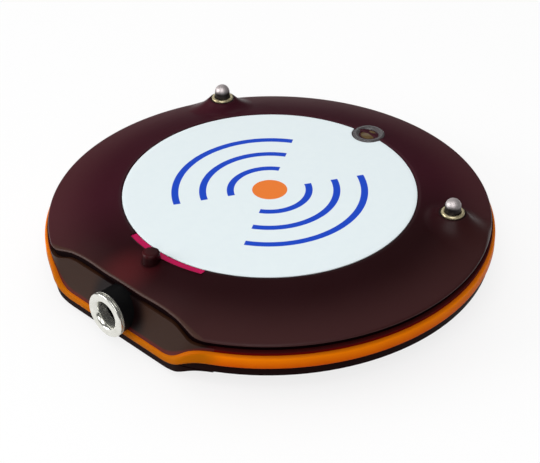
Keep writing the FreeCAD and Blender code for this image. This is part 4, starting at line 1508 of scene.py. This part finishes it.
@dataclass(frozen=True)
class Studio:
    """Floor, background, lamps and the camera."""

    target: tuple = (0.0, 0.0, 8.75)
    azimuth: float = 44.813
    elevation: float = 34.445
    distance: float = 376.9
    roll: float = 0.543
    lens: float = 104.0
    shift_y: float = -0.022
    side: tuple = (-0.65, 0.45, 0.61)
    soft_least: float = 0.16
    soft_gain: float = 1.62
    gloss_low: float = 0.035
    gloss_high: float = 0.05
    floor_half: float = 3000.0
    floor_level: float = -0.02
    table: float = 0.12
    floor_near: float = 0.8
    floor_far: float = 0.1
    floor_white: float = 0.8

    def camera(self) -> None:
        """A camera at the photograph's viewing angle."""
        turn, rise = math.radians(self.azimuth), math.radians(self.elevation)
        back = Vector((math.sin(turn) * math.cos(rise), -math.cos(turn) * math.cos(rise), math.sin(rise)))
        data = bpy.data.cameras.new("camera")
        data.lens = self.lens
        data.shift_y = self.shift_y
        data.clip_start = 0.01
        data.clip_end = 20.0
        camera = bpy.data.objects.new("camera", data)
        camera.location = (Vector(self.target) + back * self.distance) * MM
        aim = (-back).to_track_quat("-Z", "Y").to_matrix()
        lean = Matrix.Rotation(math.radians(-self.roll), 3, "Z")
        camera.rotation_euler = (aim @ lean).to_euler()
        bpy.context.scene.collection.objects.link(camera)
        bpy.context.scene.camera = camera

    def lamp(self, name: str, place: tuple, size: tuple, power: float) -> None:
        """One soft rectangular lamp aimed at the disc.

        Args:
            name: Name of the lamp.
            place: Its place in metres.
            size: Its width and height in metres.
            power: Its power in watts.
        """
        data = bpy.data.lights.new(name, "AREA")
        data.shape = "RECTANGLE"
        data.size, data.size_y = size
        data.energy = power
        lamp = bpy.data.objects.new(name, data)
        lamp.location = place
        lamp.rotation_euler = (-Vector(place)).to_track_quat("-Z", "Y").to_euler()
        bpy.context.scene.collection.objects.link(lamp)

    def floor(self) -> None:
        """A wide pale floor. The camera sees it as near white, with the disc's shadow on it."""
        half, level = self.floor_half, self.floor_level
        turns = ((-half, -half), (half, -half), (half, half), (-half, half))
        corners = np.array([(x, y, level) for x, y in turns])
        floor = mesh_piece("floor", corners, [(0, 1, 2, 3)])
        shade = Shade("floor")
        path = shade.node("ShaderNodeLightPath")
        camera = path.signal("Is Camera Ray")
        x, y, _ = shade.axes(millimetres=False)
        near = (x * x + y * y).root().below(self.table, self.table)
        seen = camera.most(path.signal("Is Transmission Ray")).most(path.signal("Is Glossy Ray") * near)
        pale = self.floor_far + (self.floor_near - self.floor_far) * near.most(camera)
        colour = shade.node("ShaderNodeCombineColor", inputs={0: pale, 1: pale, 2: pale}).signal()
        shade.finish(Base_Color=colour, Roughness=0.9, Specular_IOR_Level=0.0)
        white = shade.node("ShaderNodeEmission", inputs={"Color": (1.0, 1.0, 1.0), "Strength": 1.0})
        inputs = {0: seen * self.floor_white, 1: Signal(shade, shade.surface.outputs[0]), 2: white.signal()}
        mixed = shade.node("ShaderNodeMixShader", inputs=inputs)
        shade.tree.links.new(mixed.signal().source, shade.output.inputs["Surface"])
        floor.data.materials.append(shade.material)

    def world(self) -> None:
        """Soft light from all round, strongest from one side and seen as white by the camera.

        For matt surfaces the level is least + gain * max(0, direction . side)^2. Gloss sees a level that
        falls from the horizon upwards.
        """
        world = bpy.data.worlds.new("world")
        bpy.context.scene.world = world
        world.use_nodes = True
        tree = Tree(world.node_tree)
        x, y, z = tree.split(tree.node("ShaderNodeTexCoord").signal("Generated"))
        lobe = (x * self.side[0] + y * self.side[1] + z * self.side[2]).most(0.0)
        matt = lobe * lobe * self.soft_gain + self.soft_least
        gloss = z.below(0.3, 0.24) * (self.gloss_low - self.gloss_high) + self.gloss_high
        path = tree.node("ShaderNodeLightPath")
        glossy = path.signal("Is Glossy Ray")
        seen = path.signal("Is Camera Ray").most(path.signal("Is Transmission Ray"))
        level = (matt + (gloss - matt) * glossy) * (1 - seen) + seen
        background = tree.node("ShaderNodeBackground", inputs={"Color": (1.0, 1.0, 1.0), "Strength": level})
        tree.node("ShaderNodeOutputWorld", inputs={"Surface": background.signal()})

    def build(self) -> None:
        """Put up floor, world, lamps and camera."""
        self.floor()
        self.world()
        self.lamp("low_key", (-0.75, -0.8, 0.35), (0.7, 0.6), 8.0)
        self.lamp("front", (0.6, -0.8, 0.5), (0.5, 0.4), 2.5)
        self.lamp("zenith", (0.3, -0.45, 0.95), (0.9, 0.6), 4.0)
        self.lamp("back", (-0.76, 0.76, 0.78), (0.6, 0.4), 0.4)
        self.camera()
        bpy.context.scene.view_settings.view_transform = "Standard"


def main() -> None:
    """Build and dress every piece, then set up the studio."""
    logging.basicConfig(level=logging.INFO, format="%(name)s %(message)s")
    workshop = Workshop()
    workshop.dress_nodes()
    shell_finishes = ("smoked_red_plastic", "shadowed_lip")
    workshop.fit(UpperShell().build(), "smoked_red_plastic", CASE, "upper_shell", finishes=shell_finishes)
    workshop.fit(StackingPeg().build(), "smoked_red_plastic", CASE)
    workshop.fit(BumperBand().build(), "amber_rubber", CASE, "bumper_band")
    label = TopLabel()
    workshop.fit(label.film(), "label_film", CASE, "top_label")
    workshop.fit(label.backing(), "label_film", CASE, finishes=("crimson_film",))
    window = StatusWindow()
    workshop.fit(window.bezel(), "clear_plastic", CASE, "window_bezel")
    workshop.fit(window.lens(), "receiver_lens", CASE)
    for side in Side:
        contact = SpringContact(side)
        name = side.name.lower()
        workshop.fit(contact.barrel(), "gold_plate", CASE, f"{name}_contact_barrel")
        nose = contact.pin()
        workshop.fit(nose, "nickel", f"{name}_contact", f"{name}_contact_pin", finishes=("pin_nickel",))
        contact.press_spring()
    socket = ChargingSocket()
    workshop.fit(socket.ferrule(), "nickel", CASE, "jack_ferrule")
    workshop.fit(socket.liner(), "black_plastic", CASE, finishes=("socket_black",))
    workshop.fit(socket.pin(), "nickel", CASE, "jack_centre_pin")
    Studio().build()


if __name__ == "__main__":
    main()
